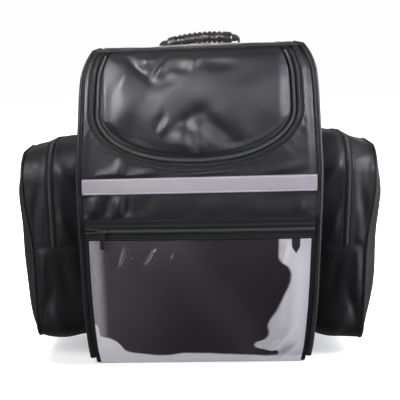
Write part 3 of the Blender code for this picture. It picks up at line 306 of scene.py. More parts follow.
def smooth_table(rows):
    """Function that reads a table of station and value on a smooth curve."""
    stations, values = np.array(rows, float).T
    slopes = np.empty_like(values)
    slopes[1:-1] = (values[2:] - values[:-2]) / (stations[2:] - stations[:-2])
    slopes[0] = (values[1] - values[0]) / (stations[1] - stations[0])
    slopes[-1] = (values[-1] - values[-2]) / (stations[-1] - stations[-2])

    def read(station):
        station = np.clip(station, stations[0], stations[-1])
        k = np.clip(np.searchsorted(stations, station, "right") - 1, 0, len(stations) - 2)
        span = stations[k + 1] - stations[k]
        u = (station - stations[k]) / span
        return (
            (2 * u**3 - 3 * u**2 + 1) * values[k]
            + (u**3 - 2 * u**2 + u) * span * slopes[k]
            + (3 * u**2 - 2 * u**3) * values[k + 1]
            + (u**3 - u**2) * span * slopes[k + 1]
        )

    return read


def arc(centre_y, centre_z, radius, start, end, steps):
    angle = np.linspace(start, end, steps + 1)
    return np.stack([centre_y + radius * np.cos(angle), centre_z + radius * np.sin(angle)], -1)


def body_outline():
    """Fine outline of the band in the YZ plane, clockwise from the base's front edge."""
    angle = np.linspace(0.0, QUARTER, 161)
    back = (RIDGE_Y - FRONT_Y) * (1.0 - np.clip(np.cos(angle), 0.0, 1.0) ** (2.0 / CURVE_POWER))
    rise = (BODY_HEIGHT - SHOULDER_Z) * np.sin(angle) ** (2.0 / CURVE_POWER)
    points = np.concatenate([
        arc(FRONT_Y + BASE_ROUND, BASE_ROUND, BASE_ROUND, -QUARTER, -2 * QUARTER, 24),
        np.stack([FRONT_Y + back, SHOULDER_Z + rise], -1),
        arc(BACK_Y - BACK_ROUND, BODY_HEIGHT - BACK_ROUND, BACK_ROUND, QUARTER, 0.0, 32),
        arc(BACK_Y - BASE_ROUND, BASE_ROUND, BASE_ROUND, 0.0, -QUARTER, 24),
    ])
    return np.concatenate([points, points[:1]])


OUTLINE = body_outline()
STATIONS = run_along(OUTLINE)
ROUND_TRIP = STATIONS[-1]
half_share = smooth_table(WIDTHS)
rim_share = smooth_table(SIDE_RIM)
belly_share = {side: smooth_table(rows) for side, rows in SIDE_BELLY.items()}
strap_arch = smooth_table(STRAP_ARCH)


def on_outline(t):
    """y and z of the outline at the length t along it."""
    t = np.mod(t, ROUND_TRIP)
    return np.interp(t, STATIONS, OUTLINE[:, 0]), np.interp(t, STATIONS, OUTLINE[:, 1])


def outline_normal(t, reach=0.0015):
    y0, z0 = on_outline(np.asarray(t) - reach)
    y1, z1 = on_outline(np.asarray(t) + reach)
    length = np.hypot(y1 - y0, z1 - z0)
    return -(z1 - z0) / length, (y1 - y0) / length


def station_of(y, z):
    return STATIONS[np.argmin(np.linalg.norm(OUTLINE[:-1] - (y, z), axis=1))]


T_FRONT = station_of(FRONT_Y, BASE_ROUND)
T_RIDGE = station_of(RIDGE_Y, BODY_HEIGHT)
T_LID_END = T_RIDGE + LID_OVER_RIDGE
T_TOP_END = station_of(BACK_Y - BACK_ROUND, BODY_HEIGHT)
T_BACK = station_of(BACK_Y, BODY_HEIGHT - BACK_ROUND)
T_BACK_END = station_of(BACK_Y, BASE_ROUND)
T_BOTTOM = station_of(BACK_Y - BASE_ROUND, 0.0)


def t_front(z):
    """Station on the upright front at the height z."""
    return T_FRONT + z - BASE_ROUND


T_SEAM = t_front(STRIP_Z)
T_MOUTH = t_front(MOUTH_BOTTOM_Z)
T_LEG = T_MOUTH + MOUTH_ARC
T_LID_TOP = T_RIDGE - RIDGE_WEB_BACK - RIDGE_WEB_WIDE


def half_width(z):
    return BODY_HALF * half_share(np.clip(np.asarray(z) / BODY_HEIGHT, 0.0, 1.0))


def band_half(t):
    return half_width(on_outline(t)[1])


MOUTH_HALF = float(band_half(T_LEG)) - MOUTH_MARGIN


def settle(points):
    """The soft body leans: its right shoulder stands a little higher than its left."""
    points = np.array(points, float)
    rise = SHOULDER_RISE * ease((points[..., 2] - 0.30 * BODY_HEIGHT) / (0.60 * BODY_HEIGHT))
    points[..., 2] += rise * points[..., 0] / BODY_HALF
    return points


def swell(x, t):
    """How far the front panel stands proud of a flat one."""
    z = on_outline(t)[1]
    across = np.clip(1.0 - (x / band_half(t)) ** 2, 0.0, None)
    along = np.sin(np.pi * np.clip((z - BASE_ROUND) / (MOUTH_BOTTOM_Z - BASE_ROUND), 0.0, 1.0))
    return np.where(np.mod(t, ROUND_TRIP) > T_MOUTH, 0.0, FRONT_SWELL * across * along)


def skin(x, t, lift=0.0):
    """Points on the band's outer face, raised off it by lift."""
    x, t, lift = np.broadcast_arrays(np.asarray(x, float), np.asarray(t, float), np.asarray(lift, float))
    y, z = on_outline(t)
    normal_y, normal_z = outline_normal(t)
    out = lift + swell(x, t)
    return settle(np.stack([x, y + normal_y * out, z + normal_z * out], -1))


def skin_out(x, t):
    """Unit normals of the band's outer face."""
    return unit(skin(x, t, 0.001) - skin(x, t, 0.0))


def ridges(x, z, rows):
    """Height of long soft folds at x and z."""
    height = np.zeros(np.broadcast(x, z).shape)
    for middle_x, middle_z, long, wide, turn, high in rows:
        side = x - middle_x
        up = z - middle_z
        cos = math.cos(math.radians(turn))
        sin = math.sin(math.radians(turn))
        along = (side * cos + up * sin) / long
        over = (up * cos - side * sin) / wide
        height += high * np.exp(-along**2 - over**2)
    return height


def crumple(u, v, seed, length, waves=9):
    """Uneven cloth between about -1 and 1, whose waves are about as long as length."""
    chance = np.random.default_rng(seed)
    total = np.zeros(np.broadcast(u, v).shape)
    for _ in range(waves):
        turn = chance.uniform(0.0, math.pi)
        pitch = length * chance.uniform(0.6, 1.7)
        phase = chance.uniform(0.0, WHOLE)
        total += np.sin(WHOLE * (u * math.cos(turn) + v * math.sin(turn)) / pitch + phase)
    return total / math.sqrt(waves)


def pucker(along, inside, seed, pitch=0.011, reach=0.009):
    """Short gathers that a seam pulls into the cloth beside it, from 0 to 1."""
    chance = np.random.default_rng(seed)
    wave = np.zeros(np.broadcast(along, inside).shape)
    for _ in range(4):
        wave += np.sin(WHOLE * along / (pitch * chance.uniform(0.7, 1.6)) + chance.uniform(0.0, 6.28))
    fade = np.exp(-np.clip(inside, 0.0, None) / reach) * ease(inside / (0.25 * reach))
    return 0.5 * wave * fade


# Mesh makers

def quads(rows, columns, wrap=False):
    """Corner indices of a grid's quads."""
    i, j = np.meshgrid(np.arange(rows - 1), np.arange(columns if wrap else columns - 1), indexing="ij")
    n = (j + 1) % columns
    corners = (i * columns + j, i * columns + n, (i + 1) * columns + n, (i + 1) * columns + j)
    return np.stack(corners, -1).reshape(-1, 4)


def build_mesh(name, points, faces, finish, cloth=None, smooth=50.0, outward=True):
    """One object from points and faces, with its finish and its flat layout."""
    mesh = bpy.data.meshes.new(name)
    points = np.asarray(points, float).reshape(-1, 3)
    mesh.from_pydata(points.tolist(), [], [list(map(int, face)) for face in faces])
    if outward:
        shape = bmesh.new()
        shape.from_mesh(mesh)
        bmesh.ops.recalc_face_normals(shape, faces=shape.faces)
        shape.to_mesh(mesh)
        shape.free()
    mesh.shade_smooth()
    mesh.set_sharp_from_angle(angle=math.radians(smooth))
    layout = np.zeros((len(points), 3))
    if cloth is None:
        layout[:, 0] = points[:, 0] + 0.7 * points[:, 1]
        layout[:, 1] = points[:, 2] + 0.3 * points[:, 1]
    else:
        layout[:, :2] = np.asarray(cloth, float).reshape(-1, 2)
    mesh.attributes.new("cloth", "FLOAT_VECTOR", "POINT").data.foreach_set("vector", layout.ravel())
    obj = bpy.data.objects.new(name, mesh)
    bpy.context.scene.collection.objects.link(obj)
    mesh.materials.append(finish_of(finish))
    return obj


def shell(name, outer, inner, cloth, finish):
    """Closed sheet between an outer and an inner grid of points."""
    rows, columns = outer.shape[:2]
    layer = rows * columns
    index = np.arange(layer).reshape(rows, columns)
    front = quads(rows, columns)
    faces = [front, front[:, ::-1] + layer]
    for line in (index[0], index[-1], index[:, 0], index[:, -1]):
        faces.append(np.stack([line[:-1], line[1:], line[1:] + layer, line[:-1] + layer], -1))
    points = np.concatenate([outer.reshape(-1, 3), inner.reshape(-1, 3)])
    flat = np.concatenate([cloth.reshape(-1, 2)] * 2)
    return build_mesh(name, points, np.concatenate(faces), finish, flat)


def skin_sheet(name, x, t, lift, thick, finish):
    """Closed sheet on the band through a grid of x and t."""
    x, t, lift = np.broadcast_arrays(x, t, lift)
    return shell(name, skin(x, t, lift), skin(x, t, lift - thick), np.stack([x, t], -1), finish)


def loft(name, rings, finish, closed=False, smooth=50.0):
    """Solid through rings of points, capped at its ends unless it closes on itself."""
    rings = np.asarray(rings, float)
    count, size = rings.shape[:2]
    faces = (quads(count + closed, size, wrap=True) % (count * size)).tolist()
    if not closed:
        faces += [list(range(size))[::-1], list(range((count - 1) * size, count * size))]
    run = run_along(rings.mean(1))
    steps = np.linalg.norm(np.roll(rings, -1, axis=1) - rings, axis=2)
    round_about = np.cumsum(steps, axis=1) - steps
    cloth = np.stack([round_about, np.broadcast_to(run[:, None], (count, size))], -1)
    return build_mesh(name, rings, faces, finish, cloth, smooth)


def headings(path):
    """Unit directions along a path."""
    return unit(np.gradient(path, axis=0))


def sweep(name, path, out, section, finish, closed=False):
    """Section of across and out pairs carried along a path whose outward side is given."""
    across = unit(np.cross(headings(path), out))
    section = np.asarray(section, float)
    if section.ndim == 2:
        section = np.broadcast_to(section, (len(path),) + section.shape)
    rings = path[:, None] + across[:, None] * section[..., :1] + out[:, None] * section[..., 1:]
    return loft(name, rings, finish, closed)


def rounded(wide, high, sides, power=0.8):
    """Closed section between an ellipse and a box, as across and out pairs."""
    angle = WHOLE * (np.arange(sides) + 0.5) / sides
    corner = np.stack([np.cos(angle), np.sin(angle)], -1)
    return np.sign(corner) * np.abs(corner) ** power * (wide / 2.0, high / 2.0)


def resample(path, out, pitch, start=0.5):
    """Points of a path at an even pitch, with their directions and outward sides."""
    run = run_along(path)
    count = max(1, int(run[-1] / pitch))
    places = (np.arange(count) + start) * run[-1] / count
    where, ahead, side = (
        np.stack([np.interp(places, run, values[:, k]) for k in range(3)], -1)
        for values in (path, headings(path), out)
    )
    return where, ahead, unit(side)


def thread_shape(sides=5):
    """Unit stitch: two rings rise out of the cloth and two stay in it."""
    angle = WHOLE * np.arange(sides) / sides
    points = []
    for along, radius, rise in ((-0.5, 0.45, -0.55), (-0.32, 1.0, 0.1), (0.32, 1.0, 0.1), (0.5, 0.45, -0.55)):
        points += [(along, 0.5 * radius * math.cos(a), rise + 0.5 * radius * math.sin(a)) for a in angle]
    faces = quads(4, sides, wrap=True).tolist()
    faces += [list(range(sides))[::-1], list(range(3 * sides, 4 * sides))]
    return np.array(points), faces


THREAD_POINTS, THREAD_FACES = thread_shape()


def scatter(name, rows, finish):
    """Many small thread shapes in one mesh; a row is places, directions, sides and sizes."""
    blocks = []
    for where, ahead, out, size in rows:
        across = unit(np.cross(out, ahead))
        local = THREAD_POINTS * np.asarray(size)
        blocks.append(
            where[:, None]
            + ahead[:, None] * local[None, :, :1]
            + across[:, None] * local[None, :, 1:2]
            + out[:, None] * local[None, :, 2:]
        )
    points = np.concatenate(blocks)
    size = len(THREAD_POINTS)
    faces = [[corner + k * size for corner in face] for k in range(len(points)) for face in THREAD_FACES]
    return build_mesh(name, points, faces, finish, smooth=80.0, outward=False)


def stitches(path, out, pitch=STITCH_PITCH, long=0.0026, thick=0.0006):
    """One row of stitches for scatter along a path."""
    where, ahead, side = resample(path, out, pitch)
    return where, ahead, side, (long, thick, thick)


def sewn_line(x, t, lift, *sizes):
    """One row of stitches on the band."""
    return stitches(skin(x, t, lift), skin_out(x, t), *sizes)


def teeth(path, out, shift, pitch=0.0016, wide=0.0026, thick=0.0011, start=0.5, lean=0.25):
    """One row of coil teeth for scatter, shifted sideways from a chain's middle."""
    where, ahead, side = resample(path, out, pitch, start)
    across = unit(np.cross(side, ahead))
    bar = unit(across + ahead * lean * np.sign(shift))
    return where + across * shift, bar, side, (wide, thick, thick)


def closed_coil(path, out, shift, **sizes):
    """Both rows of teeth of a closed chain, half a pitch apart."""
    return [teeth(path, out, shift, **sizes), teeth(path, out, -shift, start=0.0, **sizes)]


def soften(obj, wide, steps):
    """Rounds a piece's sharp edges."""
    bevel = obj.modifiers.new("edges", "BEVEL")
    bevel.width = wide
    bevel.segments = steps
    bevel.limit_method = "ANGLE"
    bevel.angle_limit = math.radians(40.0)


def dress(obj, *nodes, slot, body="pack"):
    """The piece stands for its CAD nodes and rides on their body; the slot is not used."""
    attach(obj, body)
    if nodes:
        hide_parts(*nodes)
    return obj


def sew(name, rows, *nodes, slot, finish="sewing_thread"):
    """Small threads or teeth as one piece."""
    return dress(scatter(name, rows, finish), *nodes, slot=slot)


# Shader maths

class Value:
    """A socket that takes part in Python expressions."""

    def __init__(self, graph, socket):
        self.graph = graph
        self.socket = socket

    def __add__(self, other):
        return self.graph.maths("ADD", self, other)

    def __radd__(self, other):
        return self.graph.maths("ADD", other, self)

    def __sub__(self, other):
        return self.graph.maths("SUBTRACT", self, other)

    def __rsub__(self, other):
        return self.graph.maths("SUBTRACT", other, self)

    def __mul__(self, other):
        return self.graph.maths("MULTIPLY", self, other)

    def __rmul__(self, other):
        return self.graph.maths("MULTIPLY", other, self)


class Graph:
    """Node tree of a material or of the surroundings, with its shader."""

    def __init__(self, owner, shader="Principled BSDF"):
        owner.use_nodes = True
        self.owner = owner
        self.tree = owner.node_tree
        self.shader = self.tree.nodes[shader]

    def node(self, kind, settings=None, inputs=None, output=0):
        """Any node: its settings are set first, then its sockets' values or links."""
        made = self.tree.nodes.new(kind)
        for key, value in (settings or {}).items():
            if key == "curve":
                points = made.mapping.curves[0].points
                while len(points) < len(value):
                    points.new(0.5, 0.5)
                for point, place in zip(points, value):
                    point.location = place
                made.mapping.update()
            else:
                setattr(made, key, value)
        for key, value in (inputs or {}).items():
            self.feed(made.inputs[key], value)
        return Value(self, made.outputs[output])

    def feed(self, socket, value):
        if isinstance(value, Value):
            self.tree.links.new(value.socket, socket)
        else:
            socket.default_value = value

    def maths(self, operation, *operands):
        return self.node("ShaderNodeMath", {"operation": operation}, dict(enumerate(operands)))

    def most(self, first, second):
        return self.maths("MAXIMUM", first, second)

    def curve(self, places, value):
        """Reads a drawn curve at a value between 0 and 1."""
        return self.node("ShaderNodeFloatCurve", {"curve": places}, {"Factor": 1.0, "Value": value})

    def rise(self, value, low, high, start=0.0, end=1.0):
        """Smooth step from start to end, as the value goes from low to high."""
        return self.node(
            "ShaderNodeMapRange",
            {"interpolation_type": "SMOOTHSTEP"},
            {"Value": value, "From Min": low, "From Max": high, "To Min": start, "To Max": end},
        )

    def shaded(self, share, colour, low, high):
        """Colour between a darker and a lighter tint of one colour."""
        return self.mix(share, tint(colour, low), tint(colour, high))

    def fibre(self, scale=900.0):
        """Fine fibres of a woven piece."""
        return self.noise(self.cloth(), scale, 2.0, 0.7)

    def wave(self, value, pitch):
        """Sine of a length in metres that comes round at each pitch."""
        return self.maths("SINE", value * (WHOLE / pitch))

    def mix(self, share, first, second):
        """Colour between two colours."""
        made = self.tree.nodes.new("ShaderNodeMix")
        made.data_type = "RGBA"
        self.feed(made.inputs[0], share)
        self.feed(made.inputs[6], first)
        self.feed(made.inputs[7], second)
        return Value(self, made.outputs[2])

    def split(self, vector):
        made = self.node("ShaderNodeSeparateXYZ", inputs={0: vector})
        return [Value(self, output) for output in made.socket.node.outputs]

    def cloth(self):
        """Flat layout of the cloth, in metres."""
        return self.node("ShaderNodeAttribute", {"attribute_name": "cloth"}, output="Vector")

    def place(self):
        return self.node("ShaderNodeTexCoord", output="Object")

    def noise(self, where, scale, detail=2.0, rough=0.5):
        return self.node(
            "ShaderNodeTexNoise",
            inputs={"Vector": where, "Scale": scale, "Detail": detail, "Roughness": rough},
        )

    def bump(self, height, strength=1.0):
        """Bump of a height in millimetres."""
        inputs = {"Height": height, "Strength": strength, "Distance": 0.001}
        return self.node("ShaderNodeBump", inputs=inputs, output="Normal")

    def finish(self, **sockets):
        """Set or link the shader's sockets; an underscore in a name stands for a space."""
        for key, value in sockets.items():
            self.feed(self.shader.inputs[key.replace("_", " ")], value)
        return self.owner


def tint(colour, share=1.0):
    """Colour made lighter or darker."""
    return tuple(min(1.0, part * share) for part in colour[:3]) + (1.0,)


def colours():
    return bpy.context.scene.backpack_colours


FINISHES = {}


def finish_of(name):
    """The finish of that name, made once."""
    if name not in FINISHES:
        FINISHES[name] = MAKERS[name](Graph(bpy.data.materials.new(name)))
    return FINISHES[name]


def woven(graph, pitch):
    """Plain weave, from -1 to 1."""
    u, v, _ = graph.split(graph.cloth())
    return graph.wave(u, pitch) * graph.wave(v, pitch)


def coated_nylon(graph):
    place = graph.place()
    shade = woven(graph, 0.0010)
    cloudy = graph.noise(place, 12.0, 3.0)
    fibre = graph.fibre()
    crease = graph.noise(place, 55.0, 3.0, 0.55)
    tone = 0.42 * cloudy + 0.34 * fibre + 0.05 * shade + 0.10
    height = 0.0192 * shade + 0.050 * fibre + 0.06 * crease
    return graph.finish(
        Base_Color=graph.shaded(tone, colours().nylon, 0.5, 1.5),
        Roughness=0.42 + 0.12 * cloudy + 0.08 * fibre,
        Specular_IOR_Level=0.50,
        Normal=graph.bump(height, 0.8),
    )


def lining_mesh(graph):
    holes = graph.rise(woven(graph, 0.0032), 0.15, 0.75)
    colour = graph.shaded(holes, colours().nylon, 1.7, 0.35)
    return graph.finish(Base_Color=colour, Roughness=0.85 - 0.1 * holes, Normal=graph.bump(holes * -0.5))


def webbing_of(graph, colour):
    """Ribbed webbing in the given colour."""
    u, v, _ = graph.split(graph.cloth())
    rib = graph.wave(u, 0.0024)
    pick = graph.wave(v, 0.0013)
    fibre = graph.fibre(1100.0)
    worn = graph.noise(graph.place(), 45.0, 3.0)
    tone = 0.18 * rib + 0.16 * pick + 0.35 * fibre + 0.45 * worn
    height = 0.10 * rib + 0.06 * pick + 0.05 * fibre
    return graph.finish(
        Base_Color=graph.shaded(tone, colour, 0.35, 2.0),
        Roughness=0.62 + 0.2 * fibre,
        Specular_IOR_Level=0.25,
        Normal=graph.bump(height),
    )


def ribbed_webbing(graph):
    return webbing_of(graph, colours().webbing)


def patch_webbing(graph):
    return webbing_of(graph, colours().patch)


def seam_binding(graph):
    rib = graph.wave(graph.split(graph.cloth())[1], 0.0011)
    fibre = graph.fibre()
    worn = graph.noise(graph.place(), 30.0, 3.0)
    tone = 0.14 * rib + 0.40 * fibre + 0.40 * worn
    colour = graph.shaded(tone, colours().binding, 0.45, 1.8)
    return graph.finish(Base_Color=colour, Roughness=0.40 + 0.18 * worn, Specular_IOR_Level=0.45,
                        Normal=graph.bump(0.05 * rib + 0.05 * fibre))


def zip_tape(graph):
    u, v, _ = graph.split(graph.cloth())
    slant = graph.wave(u + graph.maths("PINGPONG", v, 0.003), 0.0016)
    fibre = graph.fibre(1000.0)
    worn = graph.noise(graph.place(), 22.0, 3.0)
    tone = 0.20 * slant + 0.35 * fibre + 0.45 * worn
    colour = graph.shaded(tone, colours().zip_tape, 0.45, 1.9)
    return graph.finish(Base_Color=colour, Roughness=0.52 + 0.15 * worn, Specular_IOR_Level=0.22,
                        Normal=graph.bump(0.06 * slant + 0.04 * fibre))


def coil_nylon(graph):
    worn = graph.noise(graph.place(), 300.0, 2.0)
    colour = graph.shaded(worn, colours().coil, 0.6, 1.5)
    return graph.finish(Base_Color=colour, Roughness=0.30 + 0.15 * worn, Normal=graph.bump(0.02 * worn))


def silver_tape(graph):
    beads = graph.node("ShaderNodeTexVoronoi", inputs={"Vector": graph.cloth(), "Scale": 1600.0}, output="Distance")
    worn = graph.noise(graph.place(), 26.0, 4.0)
    colour = graph.shaded(0.35 * beads + 0.65 * worn, colours().silver, 0.86, 1.12)
    return graph.finish(Base_Color=colour, Metallic=0.15 + 0.1 * worn, Roughness=0.50 + 0.12 * worn,
                        Normal=graph.bump(0.02 * beads + 0.10 * worn, 0.6))


def thread_of(graph, dark, light):
    """Twisted thread between two colours."""
    fibre = graph.noise(graph.place(), 2500.0, 2.0)
    colour = graph.mix(fibre, dark, light)
    return graph.finish(Base_Color=colour, Roughness=0.55 + 0.1 * fibre, Normal=graph.bump(0.03 * fibre))


def sewing_thread(graph):
    return thread_of(graph, tint(colours().thread, 0.5), tint(colours().thread, 1.5))


def silver_thread(graph):
    return thread_of(graph, (0.30, 0.29, 0.32, 1.0), (0.72, 0.70, 0.74, 1.0))


# Edge of the pale reflection painted down the window's right side: height above the base, x, both times five
GLARE_EDGE = (
    (0.00, 0.565), (0.05, 0.600), (0.095, 0.605), (0.115, 0.500), (0.14, 0.425), (0.17, 0.420),
    (0.21, 0.500), (0.24, 0.5275), (0.33, 0.5275), (0.4475, 0.595), (0.55, 0.645), (0.705, 0.703),
    (0.775, 0.690), (0.85, 0.620), (0.94, 0.6135), (1.00, 0.6135),
)
# Top of the pale reflection painted along the window's foot: x times two and a half plus a half, height times five
GLARE_FOOT_EDGE = (
    (0.00, 0.340), (0.085, 0.330), (0.105, 0.235), (0.142, 0.225), (0.185, 0.165), (0.20, 0.120),
    (0.28, 0.085), (0.36, 0.075), (0.42, 0.090), (0.52, 0.085), (0.78, 0.065), (1.00, 0.080),
)


def clear_vinyl(graph):
    """Clear sheet with painted light: pale reflections painted along its foot, down its right side and at its left
    edge, a faint painted diagonal band, and a haze painted stronger towards the upper left, where the light falls.
    """
    place = graph.place()
    x, _, z = graph.split(place)
    wavy = graph.noise(place, 30.0, 2.0) - 0.5
    fine = graph.noise(place, 9.0, 3.0)
    wander = 0.02 * wavy
    # Painted reflection: pale glare painted down the sheet's right side, out to the drawn edge.
    side = graph.rise(x * 5.0 - graph.curve(GLARE_EDGE, z * 5.0 + wander) + wander, -0.012, 0.022)
    # Painted reflection: pale glare painted along the sheet's foot.
    foot = graph.rise(graph.curve(GLARE_FOOT_EDGE, x * 2.5 + 0.5 + wander) - z * 5.0 + wander, -0.008, 0.012)
    # Painted glare of the foot and the right side, less a small pointed patch at the upper right.
    tab = 0.042 * graph.rise(z * 5.0, 0.870, 0.960) - graph.maths("ABSOLUTE", x * 5.0 - 0.755) - 0.010
    painted_glare = graph.most(foot, side) * (1.0 - graph.rise(tab, -0.006, 0.006))
    # Painted glare towards the sheet's left edge.
    edge = graph.rise(-1.0 * x - 0.03 * z + 0.004 * wavy, 0.142, 0.160)
    # Painted light: the haze is made stronger towards the upper left, where the light falls.
    left = graph.rise(-1.0 * x + 0.35 * z + 0.10 * fine, 0.075, 0.250)
    # Painted reflection: a soft diagonal band.
    band = 1.0 - graph.rise(graph.maths("ABSOLUTE", x * 0.8 + z * 0.6 - 0.052 - 0.05 * fine), 0.004, 0.042)
    # Share of the pale colour of the painted reflections.
    painted_reflection_share = graph.most(graph.most(foot, 0.72 * painted_glare), 0.50 * edge)
    # Opacity: a faint haze of the sheet, raised by the painted light on the left, at the left edge and in the band.
    haze_and_glare = 0.055 + 0.17 * left + 0.30 * edge + 0.05 * band
    colour = graph.mix(painted_reflection_share, tint(colours().haze_and_glare), tint(colours().vinyl))
    return graph.finish(
        Base_Color=colour,
        Alpha=graph.most(0.92 * painted_glare, haze_and_glare),
        Roughness=0.12 + 0.20 * painted_glare,
        Specular_IOR_Level=0.45,
        Normal=graph.bump(0.5 * wavy, 0.12),
    )


def moulded_plastic(graph):
    grain = graph.noise(graph.place(), 700.0, 3.0, 0.6)
    worn = graph.noise(graph.place(), 60.0, 3.0)
    colour = graph.shaded(worn, colours().plastic, 0.7, 1.6)
    return graph.finish(Base_Color=colour, Roughness=0.20 + 0.16 * worn, Specular_IOR_Level=0.85,
                        Normal=graph.bump(0.05 * grain, 0.6))


def lacquered_metal(graph):
    edge = graph.node("ShaderNodeNewGeometry", output="Pointiness")
    worn = graph.rise(edge + 0.10 * graph.noise(graph.place(), 400.0, 2.0), 0.60, 0.72)
    colour = graph.mix(worn, tint(colours().metal), (0.42, 0.41, 0.40, 1.0))
    return graph.finish(Base_Color=colour, Metallic=0.35 + 0.6 * worn, Roughness=0.30 + 0.1 * worn,
                        Normal=graph.bump(0.03 * graph.noise(graph.place(), 900.0, 2.0)))


def pale_floor(graph):
    speckle = graph.noise(graph.place(), 60.0, 4.0)
    colour = graph.shaded(speckle, bpy.context.scene.backpack_stage.floor, 0.985, 1.0)
    return graph.finish(Base_Color=colour, Roughness=0.85, Specular_IOR_Level=0.1,
                        Emission_Color=colour, Emission_Strength=FLOOR_GLOW)


MAKERS = {maker.__name__: maker for maker in (
    coated_nylon, lining_mesh, ribbed_webbing, patch_webbing, seam_binding, zip_tape, coil_nylon, silver_tape,
    sewing_thread, silver_thread, clear_vinyl, moulded_plastic, lacquered_metal, pale_floor,
)}


# What a user would change

FLOOR_GLOW = 0.45


def colour_property(name, description, default):
    return bpy.props.FloatVectorProperty(
        name=name, description=description, default=default, size=3, min=0.0, max=1.0, subtype="COLOR"
    )


class BackpackColours(bpy.types.PropertyGroup):
    nylon: colour_property("Nylon", "Coated cloth of the body, the lid and the pockets", (0.0052, 0.0047, 0.0058))
    webbing: colour_property("Webbing", "Woven straps and edging", (0.011, 0.0112, 0.0100))
    binding: colour_property("Binding", "Tape and cord in the seams", (0.0105, 0.0100, 0.0105))
    zip_tape: colour_property("Zip tape", "Woven tape of the zips", (0.0054, 0.0056, 0.0046))
    coil: colour_property("Zip coil", "Teeth of the zips", (0.050, 0.050, 0.050))
    silver: colour_property("Reflective tape", "Silver strip across the front", (0.225, 0.207, 0.222))
    # Colour of the pale reflections painted on the clear window.
    vinyl: colour_property("Vinyl", "Milky parts of the clear window", (0.46, 0.45, 0.475))
    # Tint of the clear window's faint haze, also shown where light is painted on it at the left and in the band.
    haze_and_glare: colour_property("Vinyl haze", "Faint haze of the clear window", (0.100, 0.086, 0.096))
    thread: colour_property("Thread", "Stitches in the dark cloth", (0.060, 0.060, 0.064))
    plastic: colour_property("Moulded plastic", "Grip and buckles", (0.010, 0.010, 0.011))
    patch: colour_property("Handle patch", "Woven patch under the grip", (0.17, 0.15, 0.135))
    metal: colour_property("Lacquer", "Black lacquer of the sliders and pulls", (0.020, 0.020, 0.022))


def number_property(name, description, default, high=None, low=0.0, unit="NONE"):
    limits = {"min": low} if high is None else {"min": low, "max": high}
    return bpy.props.FloatProperty(name=name, description=description, default=default, unit=unit, **limits)


def length_property(name, description, default, high, low=0.0):
    return number_property(name, description, default, high, low, "LENGTH")


def power_property(name, description, default):
    return number_property(name, description, default, unit="POWER")


class BackpackCloth(bpy.types.PropertyGroup):
    fold: number_property("Folds", "Depth of the folds, against their usual depth", 1.25, 2.0)
    uneven: length_property("Unevenness", "Height of the cloth's low waves", 0.0006, 0.003)
    gather: length_property("Gathers", "Height of the puckers along the seams", 0.0009, 0.003)
    stitch: length_property("Stitch", "Distance from one stitch to the next", STITCH_PITCH, 0.008, 0.002)


class BackpackStage(bpy.types.PropertyGroup):
    floor: colour_property("Floor", "Plain floor and surroundings", (0.93, 0.93, 0.94))
    key: power_property("Key light", "Soft light at the upper left", 3.0)
    window: power_property("Window light", "Large soft light from the left", 17.0)
    side: power_property("Side light", "Soft light at the right", 24.0)
    near: power_property("Near light", "Small light near the lid, upper left", 0.75)
    back: power_property("Back light", "Soft light behind the backpack", 26.0)
    right: power_property("Right light", "Small soft light at the right", 0.65)
    top: power_property("Top light", "Wide light above and behind", 300.0)
    ambient: number_property("Surroundings", "Brightness of the room behind the backpack", 0.22, 3.0)
    dark: number_property("Front side", "Brightness of the room in front of the backpack", 0.05, 3.0)
    overhead: number_property("Overhead", "Brightness added straight above", 0.06, 5.0)


# Stage

CAMERA_PLACE = (-0.018, -1.827, 0.540)
CAMERA_YAW = -0.61
CAMERA_PITCH = 9.18
CAMERA_ROLL = -0.44
CAMERA_LENS = 99.0
FLOOR_RADIUS = 6.0
# Lights: name, place, target, width, height, colour, and the spread in degrees where it is narrow
LIGHTS = (
    ("key", (-0.80, -0.62, 1.22), (-0.10, -0.09, 0.40), 0.50, 0.60, (0.97, 0.96, 1.0), None),
    ("window", (-1.25, -1.05, 0.95), (-0.10, -0.10, 0.36), 0.8, 1.0, (0.96, 0.96, 1.0), None),
    ("side", (1.25, -0.22, 0.62), (0.20, -0.05, 0.30), 0.4, 0.9, (0.90, 0.92, 1.0), None),
    ("near", (-0.42, -0.74, 0.76), (-0.110, -0.11, 0.49), 0.22, 0.22, (0.96, 0.95, 1.0), 32.0),
    ("right", (0.80, -0.85, 0.66), (0.20, -0.12, 0.46), 0.20, 0.20, (0.90, 0.90, 1.0), 30.0),
    ("back", (0.25, 1.60, 0.20), (0.0, 0.13, 0.30), 1.6, 0.3, (0.97, 0.98, 1.0), None),
    ("top", (0.0, 2.6, 3.0), (0.0, 2.0, 0.0), 4.5, 3.5, (1.0, 1.0, 1.0), None),
)


def make_camera():
    data = bpy.data.cameras.new("camera")
    data.lens = CAMERA_LENS
    data.sensor_width = 36.0
    camera = bpy.data.objects.new("camera", data)
    bpy.context.scene.collection.objects.link(camera)
    yaw, pitch, roll = (math.radians(angle) for angle in (CAMERA_YAW, CAMERA_PITCH, CAMERA_ROLL))
    ahead = Vector((-math.sin(yaw) * math.cos(pitch), math.cos(yaw) * math.cos(pitch), -math.sin(pitch)))
    level = Vector((math.cos(yaw), math.sin(yaw), 0.0))
    upright = level.cross(ahead)
    right = math.cos(roll) * level + math.sin(roll) * upright
    up = math.cos(roll) * upright - math.sin(roll) * level
    turn = Matrix((right, up, -ahead)).transposed()
    camera.matrix_world = Matrix.Translation(CAMERA_PLACE) @ turn.to_4x4()
    bpy.context.scene.camera = camera


def area_light(name, place, target, wide, tall, colour, spread, power):
    data = bpy.data.lights.new(name, "AREA")
    data.shape = "RECTANGLE"
    data.size = wide
    data.size_y = tall
    data.energy = power
    data.color = colour
    if spread is not None:
        data.spread = math.radians(spread)
    light = bpy.data.objects.new(name, data)
    bpy.context.scene.collection.objects.link(light)
    light.location = place
    light.rotation_euler = (Vector(target) - Vector(place)).to_track_quat("-Z", "Y").to_euler()
    return light


